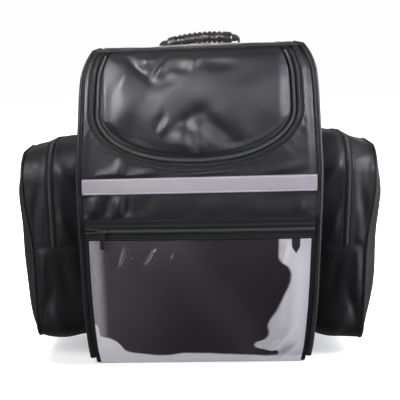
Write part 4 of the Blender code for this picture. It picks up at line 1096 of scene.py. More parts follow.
class BACKPACK_OT_stage(bpy.types.Operator):
    """Camera, floor, surroundings and soft lights"""
    bl_idname = "backpack.stage"
    bl_label = "Stage"

    def execute(self, context):
        settings = context.scene.backpack_stage
        make_camera()
        context.scene.view_settings.view_transform = "Standard"
        context.scene.world = self.surroundings(settings)
        angle = np.linspace(0.0, WHOLE, 96, endpoint=False)
        rim = np.stack([FLOOR_RADIUS * np.cos(angle), FLOOR_RADIUS * np.sin(angle), 0.0 * angle], -1)
        floor = build_mesh("floor", rim, [list(range(len(rim)))], "pale_floor", outward=False)
        floor.visible_glossy = False
        for light in LIGHTS:
            made = area_light(*light, power=getattr(settings, light[0]))
            made.visible_glossy = light[0] != "top"
        return {"FINISHED"}

    def surroundings(self, settings):
        """White room behind and above the backpack, dark in front of it."""
        graph = Graph(bpy.data.worlds.new("surroundings"), "Background")
        _, y, z = graph.split(graph.node("ShaderNodeTexCoord", output="Generated"))
        room = graph.rise(y, -0.25, 0.45, settings.dark, settings.ambient)
        room = room + graph.rise(z, 0.45, 0.95, 0.0, settings.overhead)
        ray = graph.node("ShaderNodeLightPath", output="Is Camera Ray")
        seen = graph.node("ShaderNodeMix", inputs={"Factor": ray, "A": room, "B": 1.0}, output="Result")
        return graph.finish(Color=(0.99, 0.99, 1.0, 1.0), Strength=seen)


# Body

def front_relief(x, z):
    """Low folds of the cloth under the strip, the tape and the lid."""
    cloth = bpy.context.scene.backpack_cloth
    tall = STRIP_LOW - TAPE_HIGH
    band = ease(4.0 * (z - TAPE_HIGH) / tall) * ease(4.0 * (STRIP_LOW - z) / tall)
    free = np.where(z > STRIP_Z, ease((z - STRIP_HIGH) / 0.007), band)
    folds = ridges(x, z, FRONT_FOLDS) * cloth.fold
    low = crumple(x, z, 3, 0.060) * cloth.uneven
    return (folds + low) * free - PANEL_SINK


class BACKPACK_OT_body(bpy.types.Operator):
    """Padded panels of the front, top, back, base and sides"""
    bl_idname = "backpack.body"
    bl_label = "Body panels"

    def execute(self, context):
        cloth = context.scene.backpack_cloth
        nylon = "coated_nylon"
        across = np.linspace(-1.0, 1.0, 121)[None, :]

        t = np.linspace(T_FRONT + GAP, T_SEAM - GAP, 112)[:, None]
        x = across * band_half(t)
        z = on_outline(t)[1]
        edge = band_half(t) - np.abs(x)
        seam = (1.0 - ease(edge / SEAM_REACH)) * ease((z - TAPE_HIGH) / 0.006) * ease((STRIP_LOW - z) / 0.006)
        lift = front_relief(x, z) + 0.5 * cloth.gather * pucker(t, edge, 5) - 0.0016 * seam
        front = skin_sheet("front_panel_cloth", x, t, lift, WALL, nylon)
        dress(front, "front_panel", slot="nylon")

        t = np.concatenate([
            np.linspace(T_LID_END + GAP, T_TOP_END, 40),
            np.linspace(T_TOP_END, T_BACK, 16)[1:],
        ])[:, None]
        x = across * band_half(t)
        edge = np.minimum(band_half(t) - np.abs(x), t - T_LID_END)
        lift = 1.6 * cloth.uneven * crumple(x, t, 8, 0.09) * ease(edge / 0.03)
        lift = lift + cloth.gather * pucker(x + t, edge, 9) - PANEL_SINK
        top = skin_sheet("top_panel_cloth", x, t, lift, WALL, nylon)
        dress(top, "top_panel", slot="nylon")

        t = np.linspace(T_BACK + GAP, T_BACK_END - GAP, 120)[:, None]
        x = across * band_half(t)
        z = on_outline(t)[1]
        side = np.abs(x)
        channels = np.minimum(np.abs(side - CHANNEL_NEAR), np.abs(side - CHANNEL_FAR))
        rows = np.abs(np.mod(z - CROSS_SEAM_Z, CROSS_SEAM_PITCH) - CROSS_SEAM_PITCH / 2.0)
        beside = (side > CHANNEL_NEAR) & (side < CHANNEL_FAR)
        seam = np.minimum(channels, np.where(beside, rows, 1.0))
        pad = ease((PAD_HALF - side) / PAD_SLOPE)
        pad = pad * ease((z - PAD_LOW_Z) / PAD_SLOPE) * ease((PAD_HIGH_Z - z) / PAD_SLOPE)
        lift = -CHANNEL_DEEP * np.exp(-((seam / CHANNEL_REACH) ** 2)) + 0.0005 * pad
        lift = lift + 0.25 * cloth.uneven * (crumple(x, z, 11, 0.05) - 1.5) * (1.0 - pad)
        back = skin_sheet("back_panel_cloth", x, t, lift, WALL, "lining_mesh")
        dress(back, "back_panel", slot="nylon")

        t = np.concatenate([
            np.linspace(T_BACK_END + GAP, T_BOTTOM, 10),
            np.linspace(T_BOTTOM, ROUND_TRIP, 24)[1:],
            np.linspace(ROUND_TRIP, ROUND_TRIP + T_FRONT - GAP, 10)[1:],
        ])[:, None]
        x = across * band_half(t)
        base = skin_sheet("base_panel_cloth", x, t, -GAP, WALL, nylon)
        dress(base, "bottom_panel", slot="nylon")

        self.side_panels(nylon)
        return {"FINISHED"}

    def side_panels(self, nylon):
        cloth = bpy.context.scene.backpack_cloth
        inset = SEAM_DEEP - SEAM_PROUD + GAP
        steps = np.linspace(0.0, 1.0, 241)
        edges = []
        for start, end in ((0.0, T_RIDGE), (T_BOTTOM, T_TOP_END)):
            t = lerp(start, end, steps)
            y, z = on_outline(t)
            normal_y, normal_z = outline_normal(t)
            edges.append((y - normal_y * inset, z - normal_z * inset))
        angle = np.linspace(0.0, QUARTER, 60)[1:]
        levels = np.concatenate([
            np.linspace(inset, SHOULDER_Z, 70),
            SHOULDER_Z + (BODY_HEIGHT - inset - SHOULDER_Z) * np.sin(angle),
        ])[:, None]
        front = np.interp(levels, edges[0][1], edges[0][0])
        back = np.interp(levels, edges[1][1], edges[1][0])
        share = np.linspace(0.0, 1.0, 70)[None, :]
        y = lerp(front, back, share)
        z = np.broadcast_to(levels, y.shape)
        edge = np.minimum(np.minimum(y - front, back - y), BODY_HEIGHT - inset - z)
        for word, direction, seed in (("left", -1, 21), ("right", 1, 31)):
            bulge = cloth.gather * pucker(y + z, edge, seed)
            bulge = bulge + cloth.uneven * crumple(y, z, seed, 0.05) * ease(edge / 0.02)
            face = side_face(z) + bulge * ease(edge / 0.004) - 0.0004
            outer = settle(np.stack([direction * face, y, z], -1))
            inner = settle(np.stack([direction * (side_face(z) - WALL), y, z], -1))
            panel = shell("side_panel_cloth_" + word, outer, inner, np.stack([y, z], -1), nylon)
            dress(panel, "side_panel_" + word, slot="nylon")


def side_face(z):
    """Distance of a side panel's outer face from the middle."""
    return half_width(z) + GAP + SEAM_WIDE - SEAM_OVER_PANEL


class BACKPACK_OT_seams(bpy.types.Operator):
    """Bound cords down both side edges, with their stitches"""
    bl_idname = "backpack.seams"
    bl_label = "Seams"

    def execute(self, context):
        pitch = context.scene.backpack_cloth.stitch
        t = np.concatenate([
            np.linspace(T_FRONT, t_front(SHOULDER_Z), 90),
            np.linspace(t_front(SHOULDER_Z), T_RIDGE, 90)[1:],
            np.linspace(T_RIDGE, T_BACK, 60)[1:],
            np.linspace(T_BACK, T_BACK_END, 80)[1:],
        ])
        y, z = on_outline(t)
        normal_y, normal_z = outline_normal(t)
        wander = 0.0004 * crumple(t, 0.0 * t, 41, 0.07)
        section = np.array((
            (-0.0045, -0.0052), (-0.0044, -0.0034), (-0.0036, -0.0026), (-0.0026, -0.0022), (-0.0012, -0.0021),
            (-0.0004, -0.0012), (0.0002, 0.0001), (0.0012, 0.0007), (0.0022, 0.0005), (0.0030, -0.0006),
            (0.0034, -0.0016), (0.0040, -0.0020), (0.0045, -0.0036), (0.0038, -0.0058), (0.0000, -0.0065),
            (-0.0038, -0.0062),
        ))
        rows = []
        for word, side in SIDES:
            across = side * (half_width(z) + GAP + SEAM_WIDE / 2.0 + wander)
            rings = settle(np.stack([
                np.stack([across + side * out_x, y + normal_y * out_n, z + normal_z * out_n], -1)
                for out_x, out_n in section
            ], 1))
            cord = loft("side_seam_binding_" + word, rings, "seam_binding", smooth=70.0)
            dress(cord, "side_seam_" + word, slot="binding")
            line = settle(np.stack([
                across - side * 0.0020, y - normal_y * 0.0021, z - normal_z * 0.0021,
            ], -1))
            out = np.stack([np.zeros_like(y), normal_y, normal_z], -1)
            rows.append(stitches(line, out, pitch))
        sew("side_seam_stitches", rows, slot="binding")
        return {"FINISHED"}


# Lid

def mouth_points(inward, legs=40, arcs=160):
    """Outline of the lid's mouth as x and t, drawn in by inward."""
    t = lerp(T_LID_END, T_LEG, np.arange(legs) / legs)
    narrowing = np.minimum(0.0, band_half(t) - band_half(T_LEG))
    leg = np.stack([MOUTH_HALF + narrowing - inward, t], -1)
    angle = np.pi * np.arange(arcs + 1) / arcs
    cos = np.cos(angle)
    across = -np.sign(cos) * np.abs(cos) ** (2.0 / MOUTH_POWER)
    along = np.clip(np.sin(angle), 0.0, 1.0) ** (2.0 / MOUTH_POWER)
    along[[0, -1]] = 0.0
    steep_x = np.sign(across) * np.abs(across) ** (MOUTH_POWER - 1.0) / MOUTH_HALF
    steep_t = along ** (MOUTH_POWER - 1.0) / MOUTH_ARC
    length = np.hypot(steep_x, steep_t)
    bend = np.stack([
        MOUTH_CENTRE + MOUTH_HALF * across - inward * steep_x / length,
        T_LEG - MOUTH_ARC * along + inward * steep_t / length,
    ], -1)
    left = leg * (-1.0, 1.0) + (MOUTH_CENTRE, 0.0)
    right = leg[::-1] + (MOUTH_CENTRE, 0.0)
    return np.concatenate([left, bend, right])


def frame_edge(legs=40, arcs=160):
    """Outer edge of the cloth round the mouth, point for point with its outline."""
    side_steps = arcs // 5
    half = arcs // 2
    t = lerp(T_LID_END, T_LEG, np.arange(legs) / legs)
    leg = np.stack([-band_half(t), t], -1)
    t = lerp(T_LEG, T_SEAM + GAP / 2.0, np.arange(side_steps + 1) / side_steps)
    down = np.stack([-band_half(t), t], -1)
    share = np.arange(1, half - side_steps + 1) / (half - side_steps)
    foot = np.stack([
        lerp(-band_half(T_SEAM), MOUTH_CENTRE, share),
        np.full_like(share, T_SEAM + GAP / 2.0),
    ], -1)
    points = np.concatenate([leg, down, foot])
    return np.concatenate([points, (points[:-1] * (-1.0, 1.0))[::-1]])


def cord_fade(t):
    """The lid zip's cord and coil flatten where they pass under the webbing."""
    return 1.0 - ease((t - (T_RIDGE - RIDGE_WEB_BACK - 3.0 * RIDGE_WEB_WIDE)) / RIDGE_WEB_WIDE)


def lid_inside(x, t):
    """Distance in from the lid's edge."""
    across = (x - MOUTH_CENTRE) / (MOUTH_HALF - ZIP_WIDTH)
    low = T_LEG - (MOUTH_ARC - ZIP_WIDTH) * np.sqrt(np.clip(1.0 - across * across, 0.0, None))
    return np.minimum(np.minimum((1.0 - np.abs(across)) * MOUTH_HALF, t - low), T_LID_TOP - t)


def lid_height(x, t):
    """How far the padded lid stands proud of the band, with its folds."""
    cloth = bpy.context.scene.backpack_cloth
    inside = lid_inside(x, t)
    puff = LID_PUFF * (0.35 * ease(inside / 0.006) + 0.65 * ease(inside / LID_EDGE))
    up = t - T_MOUTH
    folds = ridges(x, up, LID_FOLDS) * cloth.fold
    low = crumple(x, up, 17, 0.075) * cloth.uneven
    dome = LID_DOME * ease(inside / LID_DOME_REACH)
    about = 0.15 * np.arctan2(up - 0.12, x - MOUTH_CENTRE)
    gathers = 0.35 * pucker(about, inside, 19, 0.016, 0.012) * cloth.gather
    height = puff + (folds + low) * ease(inside / 0.016) + dome + gathers
    return np.where(t >= T_LID_TOP, 0.0, height) - PANEL_SINK


class BACKPACK_OT_lid(bpy.types.Operator):
    """Cloth round the mouth, the lid, its zip and the webbing over the top edge"""
    bl_idname = "backpack.lid"
    bl_label = "Lid"

    def execute(self, context):
        self.surround(context.scene.backpack_cloth)
        self.zip()
        self.flap()
        self.edging()
        return {"FINISHED"}

    def surround(self, cloth):
        inner = mouth_points(0.0)
        outer = frame_edge()
        share = np.linspace(0.0, 1.0, 22)
        x, t = (lerp(outer[:, None, k], inner[:, None, k], share[None, :]) for k in (0, 1))
        span = np.linalg.norm(outer - inner, axis=1)[:, None]
        inside = span * (1.0 - share[None, :])
        run = run_along(inner)[:, None]
        gathers = 0.5 * cloth.gather * pucker(run, inside, 23, 0.017, 0.010) * ease(span * share[None, :] / 0.004)
        hem = 0.0007 * np.exp(-((inside - 0.0012) / 0.0010) ** 2)
        seam = 1.0 - ease((band_half(t) - np.abs(x)) / SEAM_REACH)
        lift = front_relief(x, on_outline(t)[1]) * ease(inside / 0.008) + gathers + hem
        lift = lift - seam * np.where(x > 0.0, FRAME_SEAM_SINK_RIGHT, FRAME_SEAM_SINK_LEFT)
        piece = skin_sheet("lid_surround", x, t, lift, WALL, "coated_nylon")
        dress(piece, "upper_front", slot="nylon")

    def zip(self):
        section = (
            (GAP, -0.0006), (0.0016, -0.0014), (0.0044, -0.0014), (0.0052, 0.0004), (0.0062, 0.0022),
            (0.0078, 0.0027), (0.0094, 0.0022), (0.0104, 0.0002), (0.0110, -0.0022), (0.0118, -0.0024),
            (0.0124, -0.0008), (0.0134, -0.0004), (0.0160, -0.0004), (0.0168, -0.0010), (0.0174, -0.0034),
            (ZIP_WIDTH - GAP, -0.0038), (ZIP_WIDTH - GAP, -0.0046), (GAP, -0.0040),
        )
        columns = [mouth_points(distance) for distance, _ in section]
        fade = cord_fade(columns[0][:, 1])
        rings = [skin(*points.T, height * fade if height > 0.0 else height)
                 for points, (_, height) in zip(columns, section)]
        tape = loft("lid_zip_tape", np.stack(rings, 1), "zip_tape")
        dress(tape, "lid_zip", slot="zip_tape")
        shown = columns[0][:, 1] < T_LID_TOP - 0.002
        seams = ((0.0030, -0.0013), (0.0066, 0.0024))
        rows = [sewn_line(*mouth_points(inward)[shown].T, lift) for inward, lift in seams]
        sew("lid_zip_stitches", rows, slot="zip_tape")
        x, t = mouth_points(0.0146)[shown].T
        coils = closed_coil(skin(x, t, 0.0001), skin_out(x, t), 0.0010)
        sew("lid_zip_coil", coils, slot="zip_tape", finish="coil_nylon")
        self.slider()

    def slider(self):
        low, high = (np.array(corner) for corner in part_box("lid_slider"))
        piece = slider_body("lid_slider_metal", (low + high) / 2.0, (0.0, 1.0, 0.0), (0.0, 0.0, 1.0))
        dress(piece, "lid_slider", slot="zip_metal")

    def flap(self):
        legs, arcs = 40, 170
        bend = mouth_points(ZIP_WIDTH, legs, arcs)[legs:legs + arcs + 1]
        leg_half = MOUTH_CENTRE - bend[0, 0]
        u = np.concatenate([np.linspace(0.0, 0.96, 118), np.linspace(0.96, 1.0, 8)[1:]])[:, None]
        t = lerp(T_LID_END, bend[None, :, 1], u)
        share = (bend[None, :, 0] - MOUTH_CENTRE) / leg_half
        drop = lerp(T_LID_END, T_LEG, u)
        narrowing = np.minimum(0.0, band_half(drop) - band_half(T_LEG))
        x = MOUTH_CENTRE + share * (leg_half + narrowing)
        piece = skin_sheet("lid_flap_cloth", x, t, lid_height(x, t), LID_THICK, "coated_nylon")
        dress(piece, "lid_flap", slot="nylon")

    def edging(self):
        middle = T_RIDGE - RIDGE_WEB_BACK
        u = np.linspace(-0.5, 0.5, 9)[:, None]
        t = middle + u * RIDGE_WEB_WIDE
        v = np.linspace(-1.0, 1.0, 181)[None, :]
        x = v * (band_half(t) - GAP)
        wave = 0.0004 * crumple(x, t, 29, 0.03)
        lift = 0.0027 + wave - 0.0006 * np.abs(2.0 * u) ** 4
        piece = skin_sheet("top_webbing_cloth", x, t, lift, WEBBING, "ribbed_webbing")
        dress(piece, "top_webbing", slot="webbing")
        rows = []
        for offset in (-EDGING_SEWN_AT, EDGING_SEWN_AT):
            t = np.full(v.size, middle + offset)
            x = v[0] * (band_half(t) - 0.004)
            rows.append(sewn_line(x, t, 0.0028))
        sew("top_webbing_stitches", rows, slot="webbing")


def slider_body(name, middle, ahead, out, scale=1.0):
    """Waisted slider with rounded edges."""
    ahead, out = Vector(ahead).normalized(), Vector(out).normalized()
    side = ahead.cross(out)
    turn = np.array((side, ahead, out))
    half = np.array((
        (0.0030, -0.0055), (0.0036, -0.0040), (0.0036, -0.0010), (0.0041, 0.0018), (0.0042, 0.0040), (0.0034, 0.0055),
    )) * scale
    outline = np.concatenate([half, (half * (-1.0, 1.0))[::-1]])
    rings = []
    for share, depth in ((0.84, -0.0010), (1.0, -0.0007), (1.0, 0.0003), (0.93, 0.0008), (0.80, 0.0010)):
        flat = np.concatenate([outline * share, np.full((len(outline), 1), depth * scale)], 1)
        rings.append(np.array(middle) + flat @ turn)
    return loft(name, rings, "lacquered_metal", smooth=30.0)


# Front trims

class BACKPACK_OT_strip(bpy.types.Operator):
    """Reflective strip across the front, sewn along both edges"""
    bl_idname = "backpack.strip"
    bl_label = "Reflective strip"

    def execute(self, context):
        u = np.linspace(-0.5, 0.5, 17)[:, None]
        t = T_SEAM + u * STRIP_WIDE
        v = np.linspace(-1.0, 1.0, 201)[None, :]
        x = v * (band_half(t) - GAP)
        sewn = np.exp(-((np.abs(u) * STRIP_WIDE - STRIP_SEWN_AT) / 0.0008) ** 2)
        wave = 0.00035 * (crumple(x, t, 47, 0.05) + 0.6) * ease((0.5 - np.abs(u)) / 0.2)
        lift = 0.0011 + wave - 0.00025 * sewn
        piece = skin_sheet("reflective_strip_tape", x, t, lift, STRIP_THICK, "silver_tape")
        dress(piece, "reflective_strip", slot="reflective")
        rows = []
        for offset in (-STRIP_SEWN_AT, STRIP_SEWN_AT):
            t = np.full(160, T_SEAM + offset)
            x = np.linspace(-1.0, 1.0, 160) * (band_half(t) - 0.003)
            rows.append(sewn_line(x, t, 0.0010, ROW_PITCH, 0.0024, 0.0007))
        sew("reflective_strip_stitches", rows, slot="reflective", finish="silver_thread")
        return {"FINISHED"}


class BACKPACK_OT_pocket_zip(bpy.types.Operator):
    """Zip over the front pocket, with its coil, slider and pull"""
    bl_idname = "backpack.pocket_zip"
    bl_label = "Front pocket zip"

    def execute(self, context):
        # Half of the chain's section, from outside in: distance from the chain's middle, height
        chain = ((0.0062, 0.0014), (0.0048, 0.0020), (0.0036, 0.0018), (0.0028, 0.0008))
        section = (
            (TAPE_LOW, 0.0003), (TAPE_LOW, 0.0013), (TAPE_LOW + 0.0015, 0.0016), (TAPE_LOW + 0.0030, 0.0014),
            *((CHAIN_Z - away, height) for away, height in chain), (CHAIN_Z, 0.0006),
            *((CHAIN_Z + away, height) for away, height in reversed(chain)),
            (TAPE_HIGH - 0.0030, 0.0014), (TAPE_HIGH - 0.0015, 0.0016), (TAPE_HIGH, 0.0013), (TAPE_HIGH, 0.0003),
        )
        v = np.linspace(-1.0, 1.0, 161)
        rings = []
        for z, lift in section:
            t = t_front(z)
            x = v * (band_half(t) - GAP)
            wave = 0.0002 * crumple(x, np.full_like(x, z), 53, 0.04) if lift > 0.0005 else 0.0 * x
            rings.append(skin(x, t, lift + wave))
        tape = loft("pocket_zip_tape", np.stack(rings, 1), "zip_tape")
        dress(tape, "pocket_zip", slot="zip_tape")
        self.coil()
        rows = []
        seams = (TAPE_LOW + TAPE_SEWN_IN, TAPE_HIGH - TAPE_SEWN_IN, CHAIN_Z + CHAIN_SEWN_AT, CHAIN_Z - CHAIN_SEWN_AT)
        for z in seams:
            x = v * (band_half(t_front(z)) - 0.003)
            t = np.full_like(x, t_front(z))
            rows.append(sewn_line(x, t, 0.0015, ROW_PITCH))
        sew("pocket_zip_stitches", rows, slot="zip_tape")
        self.slider()
        self.pull()
        return {"FINISHED"}

    def coil(self):
        t = t_front(CHAIN_Z)
        half = float(band_half(t)) - 0.002
        x = np.linspace(SLIDER_X, half, 120)
        rows = closed_coil(skin(x, t, 0.0016), skin_out(x, t), 0.0011, thick=0.0013)
        x = np.linspace(SLIDER_X, -half, 40)
        for side in (1.0, -1.0):
            apart = side * (0.0011 + 0.0026 * ease((SLIDER_X - x) / 0.022))
            line = t + apart
            rows.append(teeth(skin(x, line, 0.0016), skin_out(x, line), 0.0001 * side, thick=0.0013))
        sew("pocket_zip_coil", rows, slot="zip_tape", finish="coil_nylon")

    def slider(self):
        low, high = (np.array(corner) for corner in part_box("pocket_slider"))
        seat = np.array([(low[0] + high[0]) / 2.0, high[1] - 0.0010, (low[2] + high[2]) / 2.0])
        piece = slider_body("pocket_slider_metal", seat, (1.0, 0.0, 0.0), (0.0, -1.0, 0.0))
        dress(piece, "pocket_slider", slot="zip_metal")
        angle = np.linspace(0.0, math.pi, 15)
        hinge = np.array(frame["joints"][0]["pos_m"])
        path = hinge + np.stack([0.0034 * np.cos(angle), 0.0032 - 0.0038 * np.sin(angle) ** 0.6, 0.0 * angle], -1)
        out = np.tile((0.0, 0.0, 1.0), (len(path), 1))
        bridge = sweep("pocket_slider_bridge", path, out, rounded(0.0012, 0.0012, 8), "lacquered_metal")
        dress(bridge, slot="zip_metal")

    def pull(self):
        hinge = np.array(frame["joints"][0]["pos_m"])
        low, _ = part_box("pocket_pull")
        long = hinge[2] - low[2]
        angle = np.linspace(0.0, WHOLE, 17)[:-1]
        out = np.stack([0.0 * angle, np.cos(angle), np.sin(angle)], -1)
        ring = hinge + PULL_EYE * out
        eye = sweep("pocket_pull_eye", ring, out, rounded(0.0040, 0.0008, 8), "lacquered_metal", closed=True)
        dress(eye, slot="zip_metal", body="pull")
        profile = smooth_table((
            (0.00, 0.0016), (0.10, 0.0016), (0.22, 0.0036), (0.45, 0.0033), (0.70, 0.0030), (0.88, 0.0039),
            (1.00, 0.0030),
        ))
        share = np.linspace(0.0, 1.0, 33)
        tip = np.sqrt(np.clip(1.0 - ((share - 0.90) / 0.10) ** 2, 0.0, 1.0))
        wide = np.where(share > 0.90, profile(share) * tip + 0.0002, profile(share))
        path = hinge + np.stack([0.0 * share, 0.0 * share, -0.0012 - (long - 0.0012) * share], -1)
        section = rounded(2.0, 0.0013, 16, 0.5)[None] * np.stack([wide, np.ones_like(wide)], -1)[:, None]
        groove = np.exp(-((share - 0.52) / 0.16) ** 4)[:, None] * np.exp(-((section[..., 0] / 0.0016) ** 4))
        section[..., 1] *= 1.0 - 0.6 * groove
        out = np.tile((0.0, -1.0, 0.0), (len(path), 1))
        blade = sweep("pocket_pull_tab", path, out, section, "lacquered_metal")
        dress(blade, "pocket_pull", slot="zip_metal", body="pull")


class BACKPACK_OT_window(bpy.types.Operator):
    """Clear vinyl window of the front pocket"""
    bl_idname = "backpack.window"
    bl_label = "Clear window"

    def execute(self, context):
        head = TAPE_LOW - GAP
        t = np.concatenate([
            np.linspace(T_FRONT - 0.0095, t_front(WINDOW_FOOT_Z), 10)[:-1],
            np.linspace(t_front(WINDOW_FOOT_Z), t_front(head), 104),
        ])[:, None]
        v = np.linspace(0.0, 1.0, 166)[None, :]
        z = on_outline(t)[1]
        u = np.clip((z - WINDOW_FOOT_Z) / (head - WINDOW_FOOT_Z), 0.0, 1.0)
        half = half_width(z) - WINDOW_MARGIN
        x = (2.0 * v - 1.0) * half
        across = np.minimum(v, 1.0 - v) / 0.09
        up = np.minimum(u / 0.14, (1.0 - u) / 0.30)
        puff = WINDOW_PUFF * ease(across) * ease(up)
        folds = ridges(x, z, WINDOW_FOLDS) * context.scene.backpack_cloth.fold
        free = ease(across * 0.8) * ease(np.minimum((z - 0.004) / 0.012, (1.0 - u) / 0.03))
        lift = np.maximum(GAP + 0.0008 + 0.92 * puff + folds * free, WINDOW_LOWEST)
        piece = skin_sheet("clear_window", x, t, lift, WINDOW_THICK, "clear_vinyl")
        dress(piece, "clear_pocket", slot="clear_vinyl")
        2.0 * float(half_width(0.1))
        return {"FINISHED"}


# Handle

def top_height(x):
    """Height of the top panel's outer face at x, where the handle stands."""
    x = np.asarray(x, float)
    return settle(np.stack([x, 0.0 * x + GRIP_Y, 0.0 * x + BODY_HEIGHT], -1))[..., 2]


def grip_centre_z(x):
    """The worn handle leans on its left end."""
    share = (x - GRIP_X) / (GRIP_LONG / 2.0)
    left = GRIP_LEFT_SAG * np.clip(0.5 - 0.5 * share, 0.0, 1.2) ** 2.2
    return top_height(x) + GRIP_RISE - GRIP_HIGH / 2.0 - GRIP_SAG * share * share - left


class BACKPACK_OT_handle(bpy.types.Operator):
    """Ribbed grip with its end caps, webbing and woven patch"""
    bl_idname = "backpack.handle"
    bl_label = "Handle"

    def execute(self, context):
        self.grip()
        self.webs()
        self.patch()
        return {"FINISHED"}

    def grip(self):
        left = GRIP_X - GRIP_LONG / 2.0
        right = GRIP_X + GRIP_LONG / 2.0
        steps, sides = 300, 36
        x = np.linspace(left, right, steps)
        ribs_from = left + CAP_LONG
        ribs_to = right - CAP_LONG
        pitch = (ribs_to - ribs_from) / RIBS
        phase = np.mod((x - ribs_from) / pitch, 1.0)
        groove = np.exp(-((np.minimum(phase, 1.0 - phase) / 0.20) ** 4))
        ribbed = (x > ribs_from - 0.2 * pitch) & (x < ribs_to + 0.2 * pitch)
        deep = np.where(ribbed, RIB_DEEP * groove, 0.0)
        ends = np.minimum(x - left, right - x)
        rounding = 1.0 - np.sqrt(np.clip(1.0 - (1.0 - ends / CAP_ROUND).clip(0.0) ** 2, 0.0, 1.0))
        deep = np.maximum(deep, CAP_ROUND * rounding)
        across, up = rounded(2.0, 2.0, sides).T
        rings = np.stack([
            np.broadcast_to(x[:, None], (steps, sides)),
            GRIP_Y + across[None] * (GRIP_WIDE / 2.0 - deep[:, None]),
            grip_centre_z(x)[:, None] + up[None] * (GRIP_HIGH / 2.0 - deep[:, None]),
        ], -1)
        piece = loft("handle_grip_moulding", rings, "moulded_plastic")
        dress(piece, "handle_grip", slot="moulded_plastic")

    def webs(self):
        rows = []
        for word, side in SIDES:
            end = GRIP_X + side * (GRIP_LONG / 2.0 - 0.004)
            foot = GRIP_X + side * (GRIP_LONG / 2.0 + HANDLE_FOOT_OUT - 0.0012)
            start_z = float(grip_centre_z(end))
            foot_z = float(top_height(foot)) + 0.0032
            angle = np.linspace(0.0, QUARTER, 29)
            path = np.stack([
                end + (foot - end) * np.sin(angle) ** 0.7,
                np.full_like(angle, GRIP_Y),
                foot_z + (start_z - foot_z) * np.cos(angle) ** 0.7,
            ], -1)
            out = np.cross(headings(path), (0.0, 1.0, 0.0))
            out *= np.sign(out[:, 2:] + 1e-9)
            layers = lerp(5.0 if side > 0 else 3.8, 1.3, ease((angle - 0.4) / 1.1))
            section = rounded(HANDLE_WEB_WIDE, HANDLE_WEB_THICK, 24, 0.35)
            section = section[None] * np.stack([np.ones_like(layers), layers], -1)[:, None]
            web = sweep("handle_webbing_" + word, path, out, section, "ribbed_webbing")
            dress(web, "handle_web_" + word, slot="webbing")
            for offset in (-HANDLE_SEWN_AT, HANDLE_SEWN_AT):
                line = path + (0.0, offset, 0.0) + out * (HANDLE_WEB_THICK / 2.0 * layers)[:, None]
                rows.append(stitches(line, out, 0.003))
        sew("handle_stitches", rows, slot="webbing")

    def patch(self):
        low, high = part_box("handle_base")
        v = np.linspace(0.0, 1.0, 90)[None, :]
        u = np.linspace(0.0, 1.0, 20)[:, None]
        x = lerp(low.x, high.x, v) + 0.0 * u
        y = lerp(low.y, high.y, u) + 0.0 * v
        crown = PATCH_CROWN * np.sin(np.pi * v) * np.sin(np.pi * u) ** 0.5 + 0.0002 * crumple(x, y, 61, 0.02)
        inside = np.minimum(np.minimum(u, 1.0 - u) * 0.029, np.minimum(v, 1.0 - v) * 0.12)
        edge = 0.0006 * (1.0 - ease(inside / 0.0012))
        top = top_height(x) + GAP + HANDLE_WEB_THICK + crown - edge
        outer = np.stack([x, y, top], -1)
        inner = np.stack([x, y, top_height(x) + GAP + 0.0 * x], -1)
        piece = shell("handle_patch", outer, inner, np.stack([y, x], -1), "patch_webbing")
        dress(piece, "handle_base", slot="webbing")


# Side pockets

def side_path(inset):
    """Side view of a pocket from its front seam, over the top and round: y, z and normal."""
    half = SIDE_DEPTH / 2.0
    points = []

    def line(y0, z0, y1, z1, normal, count):
        for k in range(count):
            share = k / count
            points.append((lerp(y0, y1, share), lerp(z0, z1, share)) + normal)

    def bend(y, z, radius, start, count):
        for k in range(count):
            angle = start - QUARTER * k / count
            points.append((
                y + math.cos(angle) * (radius - inset), z + math.sin(angle) * (radius - inset),
                math.cos(angle), math.sin(angle),
            ))

    top = SIDE_TOP_Z - SIDE_TOP_ROUND
    foot = SIDE_BOTTOM_Z + SIDE_BOTTOM_ROUND
    flat = half - SIDE_TOP_ROUND
    low_flat = half - SIDE_BOTTOM_ROUND
    line(-half + inset, SIDE_SEAM_Z, -half + inset, top, (-1.0, 0.0), 40)
    bend(-flat, top, SIDE_TOP_ROUND, 2 * QUARTER, 26)
    line(-flat, SIDE_TOP_Z - inset, flat, SIDE_TOP_Z - inset, (0.0, 1.0), 26)
    bend(flat, top, SIDE_TOP_ROUND, QUARTER, 26)
    line(half - inset, top, half - inset, SIDE_SEAM_Z, (1.0, 0.0), 40)
    upper = len(points)
    line(half - inset, SIDE_SEAM_Z, half - inset, foot, (1.0, 0.0), 40)
    bend(low_flat, foot, SIDE_BOTTOM_ROUND, 0.0, 16)
    line(low_flat, SIDE_BOTTOM_Z + inset, -low_flat, SIDE_BOTTOM_Z + inset, (0.0, -1.0), 36)
    bend(-low_flat, foot, SIDE_BOTTOM_ROUND, -QUARTER, 16)
    line(-half + inset, foot, -half + inset, SIDE_SEAM_Z, (-1.0, 0.0), 40)
    return np.array(points), upper


def side_share(z):
    return (z - SIDE_BOTTOM_Z) / (SIDE_TOP_Z - SIDE_BOTTOM_Z)


def rim_out(z):
    return SIDE_REACH * rim_share(side_share(z))


def hang(direction, share, z):
    """How far a pocket hangs: its top rises at the body and drops at the rim, its foot sags."""
    top = ease((side_share(z) - 0.55) / 0.45) * lerp(SIDE_RISE[direction], -SIDE_DROP[direction], ease(share))
    foot = SIDE_SAG[direction] * share * share * ease(1.0 - side_share(z) / 0.7)
    return top - foot


def gusset_line(direction, rows, out, lift):
    """A line on a gusset at one distance out, with its outward side."""
    out = np.full((len(rows), 1), out)
    line = gusset_point(direction, rows, out, lift)[:, 0]
    return line, unit(gusset_point(direction, rows, out, lift + 0.001)[:, 0] - line)


